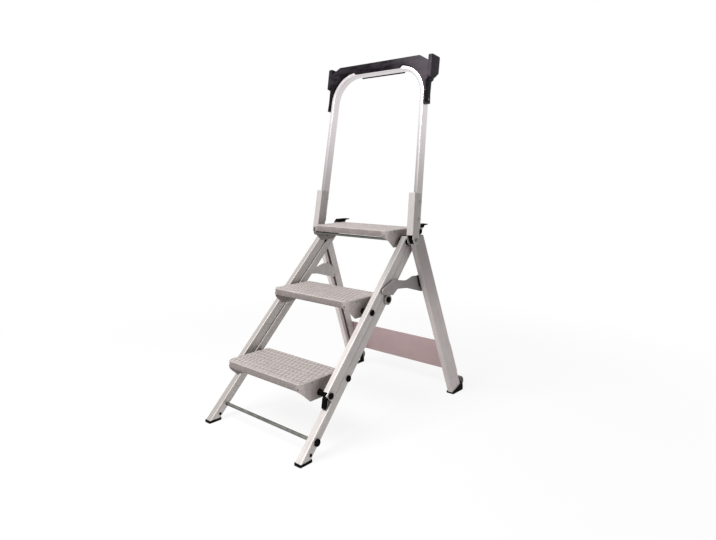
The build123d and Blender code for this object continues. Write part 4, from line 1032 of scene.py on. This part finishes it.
for tread, rear in tread_pivots.items():
    buttons = []
    spacers = []
    for pivot, size in ((rear, REAR_BUSH_RADIUS), (rear + front_step, FRONT_BUSH_RADIUS)):
        buttons += fittings(button_profile, tread + "_caps", pivot, CAP_RADIUS)
        spacers += fittings(spool_profile, tread + "_bushes", pivot, size)
    add_piece(tread + "_pivot_buttons", buttons, tread_body[tread], nylon, [tread + "_caps"])
    add_piece(tread + "_spacers", spacers, tread_body[tread], nylon, [tread + "_bushes"])
rod_axis = np.mean(node_box("cross_rod_caps"), axis=0)
rod_buttons = fittings(button_profile, "cross_rod_caps", rod_axis, ROD_CAP_RADIUS)
add_piece("cross_rod_buttons", rod_buttons, "front_frame", nylon, ["cross_rod_caps"])

# %% [markdown]
# The lock lever hangs from the lowest front pivot on the right: a hub, and a slim arm that a toe can push.

# %% Lock lever
LEVER_ARM = [(0.0, -8.0), (-9.0, -15.0), (-15.5, -41.0), (-21.5, -41.0), (-17.0, -8.0), (-6.0, 6.0)]
LEVER_ROUNDS = [1.5, 5.0, 1.6, 2.0, 6.0, 1.5]
LEVER_WIDTH = 18.0
LEVER_EDGE = 1.2
LEVER_HUB = 11.0
lever_pivot = joint_place["lever_swing"]
hub_start, hub_end = span_across("lock_lever", lever_pivot, LEVER_HUB, SIDES["right"])
lever_line = rounded_outline(LEVER_ARM, LEVER_ROUNDS) + lever_pivot[1:]
lever_hub = turned_piece(spool_profile(hub_end - hub_start, LEVER_HUB), lever_pivot + (hub_start, 0, 0))
lever_arm = slab(lever_line, hub_end - LEVER_WIDTH, hub_end, LEVER_EDGE, side_view)
add_piece("lock_lever_arm", [lever_hub, lever_arm], "lock_lever", nylon, ["lock_lever"])

# %% [markdown]
# The wheels are small grey mouldings. A turned profile gives the rolled shoulders, the dish and the hub, and
# five short spokes stand in the dish, so that a rolling wheel is seen to roll.

# %% Wheels
WHEEL_SIDES = 56
WHEEL_STEPS = 6
WHEEL_SHOULDER = 2.4
WHEEL_RIM = 4.5
RIM_DROP = 0.6
WHEEL_DISH = 4.5
DISH_LEAN = 1.0
WHEEL_HUB = 7.5
HUB_EDGE = 0.8
HUB_TIP = 0.5
SPOKES = 5
SPOKE_WIDTH = 4.0
SPOKE_SINK = 1.0
SPOKE_DROP = 1.2
SPOKE_ROUND = 1.0
SPOKE_EDGE = 0.8
SPOKE_STEPS = 4


def wheel_profile(width, radius):
    """From the inner hub face out over the tread to the rim, down into the dish and up on the outer hub."""
    turn = np.linspace(0.0, math.pi / 2, WHEEL_STEPS)
    rise = radius - WHEEL_SHOULDER * (1 - np.sin(turn))
    shoulder = WHEEL_SHOULDER * (1 - np.cos(turn))
    inner = np.column_stack([shoulder, rise])
    outer = np.column_stack([width - shoulder, rise])[::-1]
    rim = radius - WHEEL_RIM
    floor_depth = width - WHEEL_DISH
    dish = [(width - RIM_DROP, rim), (floor_depth, rim - DISH_LEAN), (floor_depth, WHEEL_HUB + HUB_EDGE)]
    hub = [(width - HUB_EDGE, WHEEL_HUB), (width, WHEEL_HUB - HUB_EDGE), (width, HUB_TIP)]
    return np.concatenate([[(0.0, HUB_TIP), (0.0, rim)], inner, outer, dish, hub])


def spoke_line(number, radius):
    """Outline of one spoke in the side view of the wheel: a rounded bar from hub to rim, turned in place."""
    turn = 2 * math.pi * number / SPOKES + math.pi / 2
    way = np.array([(math.cos(turn), math.sin(turn)), (-math.sin(turn), math.cos(turn))])
    start = WHEEL_HUB - SPOKE_SINK
    end = radius - WHEEL_RIM
    half = SPOKE_WIDTH / 2
    corners = [(start, -half), (end, -half), (end, half), (start, half)]
    return rounded_outline(corners, [SPOKE_ROUND] * 4, SPOKE_STEPS) @ way


for end, side in SIDES.items():
    name = "wheel_" + end
    low, high = node_box(name)
    centre = (low + high) / 2
    width = high[0] - low[0]
    radius = (high[2] - low[2]) / 2
    start = np.abs([low[0], high[0]]).min()
    dish_floor = start + width - WHEEL_DISH - SPOKE_SINK
    profile = wheel_profile(width, radius)
    skins = [turned_piece(profile, centre * (0, 1, 1) + (start, 0, 0), sides=WHEEL_SIDES)]
    for number in range(SPOKES):
        line = spoke_line(number, radius) + centre[1:]
        skins.append(slab(line, dish_floor, start + width - SPOKE_DROP, SPOKE_EDGE, side_view, SPOKE_STEPS))
    skins = [on_side(skin, side) for skin in skins]
    add_piece(name + "_moulding", skins, name, wheel_plastic, [name])

# %% [markdown]
# The front feet are rubber soles under the rails' ends. Fine ribs run round them: the outline is drawn in
# and out as it rises, by a cosine of the height.

# %% Front feet
FOOT_LENGTH = 53.0
FOOT_HEIGHT = 9.0
FOOT_CORNER = 4.0
FOOT_BEVEL = 1.2
FOOT_STEPS = 37
RIB_PITCH = 2.4
RIB_DEPTH = 0.6


def ribbed_sole(low_x, high_x, front):
    """Rounded plan outline at rising heights, drawn in by a bevel below and by ribs above it."""
    back = front + FOOT_LENGTH
    corners = [(low_x, front), (high_x, front), (high_x, back), (low_x, back)]
    plan = rounded_outline(corners, [FOOT_CORNER] * 4)
    height = np.linspace(0.0, FOOT_HEIGHT, FOOT_STEPS)
    ribs = RIB_DEPTH * (1 - np.cos(2 * math.pi * (height - FOOT_BEVEL) / RIB_PITCH)) / 2
    inset = np.where(height < FOOT_BEVEL, FOOT_BEVEL - height, ribs)
    flat = plan[None] - outward(plan)[None] * inset[:, None, None]
    rise = np.broadcast_to(height[:, None, None], (*flat.shape[:2], 1))
    return closed_rings(np.concatenate([flat, rise], axis=-1))


for end, side in SIDES.items():
    low, high = node_box("front_foot_" + end)
    near, far = np.sort(np.abs([low[0], high[0]]))
    sole = on_side(ribbed_sole(near, far, low[1]), side)
    add_piece("front_sole_" + end, [sole], "front_frame", rubber, ["front_foot_" + end])

# %% [markdown]
# Small rivets hold each tread's side plates. They are too small for the CAD model, but the eye looks for
# them: a dome on each side plate and one on each rounded corner.

# %% Tread rivets
RIVET_RADIUS = 3.4
RIVET_RISE = 1.6
RIVET_SINK = 0.6
RIVET_SIDES = 20
RIVET_STEPS = 8
TIP_TURN = 0.49 * math.pi
SIDE_RIVET = (TREAD_HALF, -120.0, 6.0)
CORNER_RIVET_TURN = math.radians(-58.0)
CORNER_RIVET_HEIGHT = -6.0


def dome_profile():
    """Quarter of an ellipse from the sheet nearly to the tip, with a short foot sunk in the sheet."""
    turn = np.linspace(0.0, TIP_TURN, RIVET_STEPS)
    dome = np.column_stack([RIVET_RISE * np.sin(turn), RIVET_RADIUS * np.cos(turn)])
    return np.concatenate([[(-RIVET_SINK, RIVET_RADIUS)], dome])


corner_way = np.array([math.cos(CORNER_RIVET_TURN), math.sin(CORNER_RIVET_TURN), 0.0])
corner = np.array([TREAD_HALF - FRONT_CORNER, TREAD_FRONT + FRONT_CORNER, CORNER_RIVET_HEIGHT])
corner_rivet = corner + FRONT_CORNER * corner_way
for tread, pivot in tread_pivots.items():
    domes = [turned_piece(dome_profile(), pivot + SIDE_RIVET, sides=RIVET_SIDES)]
    domes.append(turned_piece(dome_profile(), pivot + corner_rivet, corner_way, RIVET_SIDES))
    domes += [on_side(skin, SIDES["left"]) for skin in domes]
    add_piece(tread + "_tread_rivets", domes, tread_body[tread], rod_steel)

# %% [markdown]
# The bars, plates and small fittings have their right shape in CAD and only need a finish, which is found by
# the start or the end of the node's name. Nodes that a piece stands for are passed by.

# %% Finishes of the CAD nodes
for finish, keys in (
    (post_metal, ("handrail_post", "post_bolts")),
    (rod_steel, ("cross_rod", "grab_rod", "pins", "wheel_axles", "plate_rivets", "saddle_screws")),
    (rubber, ("rear_shoe", "brace_buffers")),
    (nylon, ("foot_rivets", "brace_rollers", "leg_top_block", "rail_top_cap", "link_top_cap")),
):
    finish_of.update(dict.fromkeys(keys, finish))
shown_nodes = {name: node for name, node in frame["nodes"].items() if name not in stood_for}
for name, node in shown_nodes.items():
    finish = next(finish_of[key] for key in finish_of if name.startswith(key) or name.endswith(key))
    node.data.materials.clear()
    node.data.materials.append(finish)
print("finished", len(shown_nodes), "CAD nodes")

# %% [markdown]
# The last cell prints the box of the dressed model.

# %% Size and finish
low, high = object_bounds()
print("box", [round(value, 4) for value in (*low, *high)])
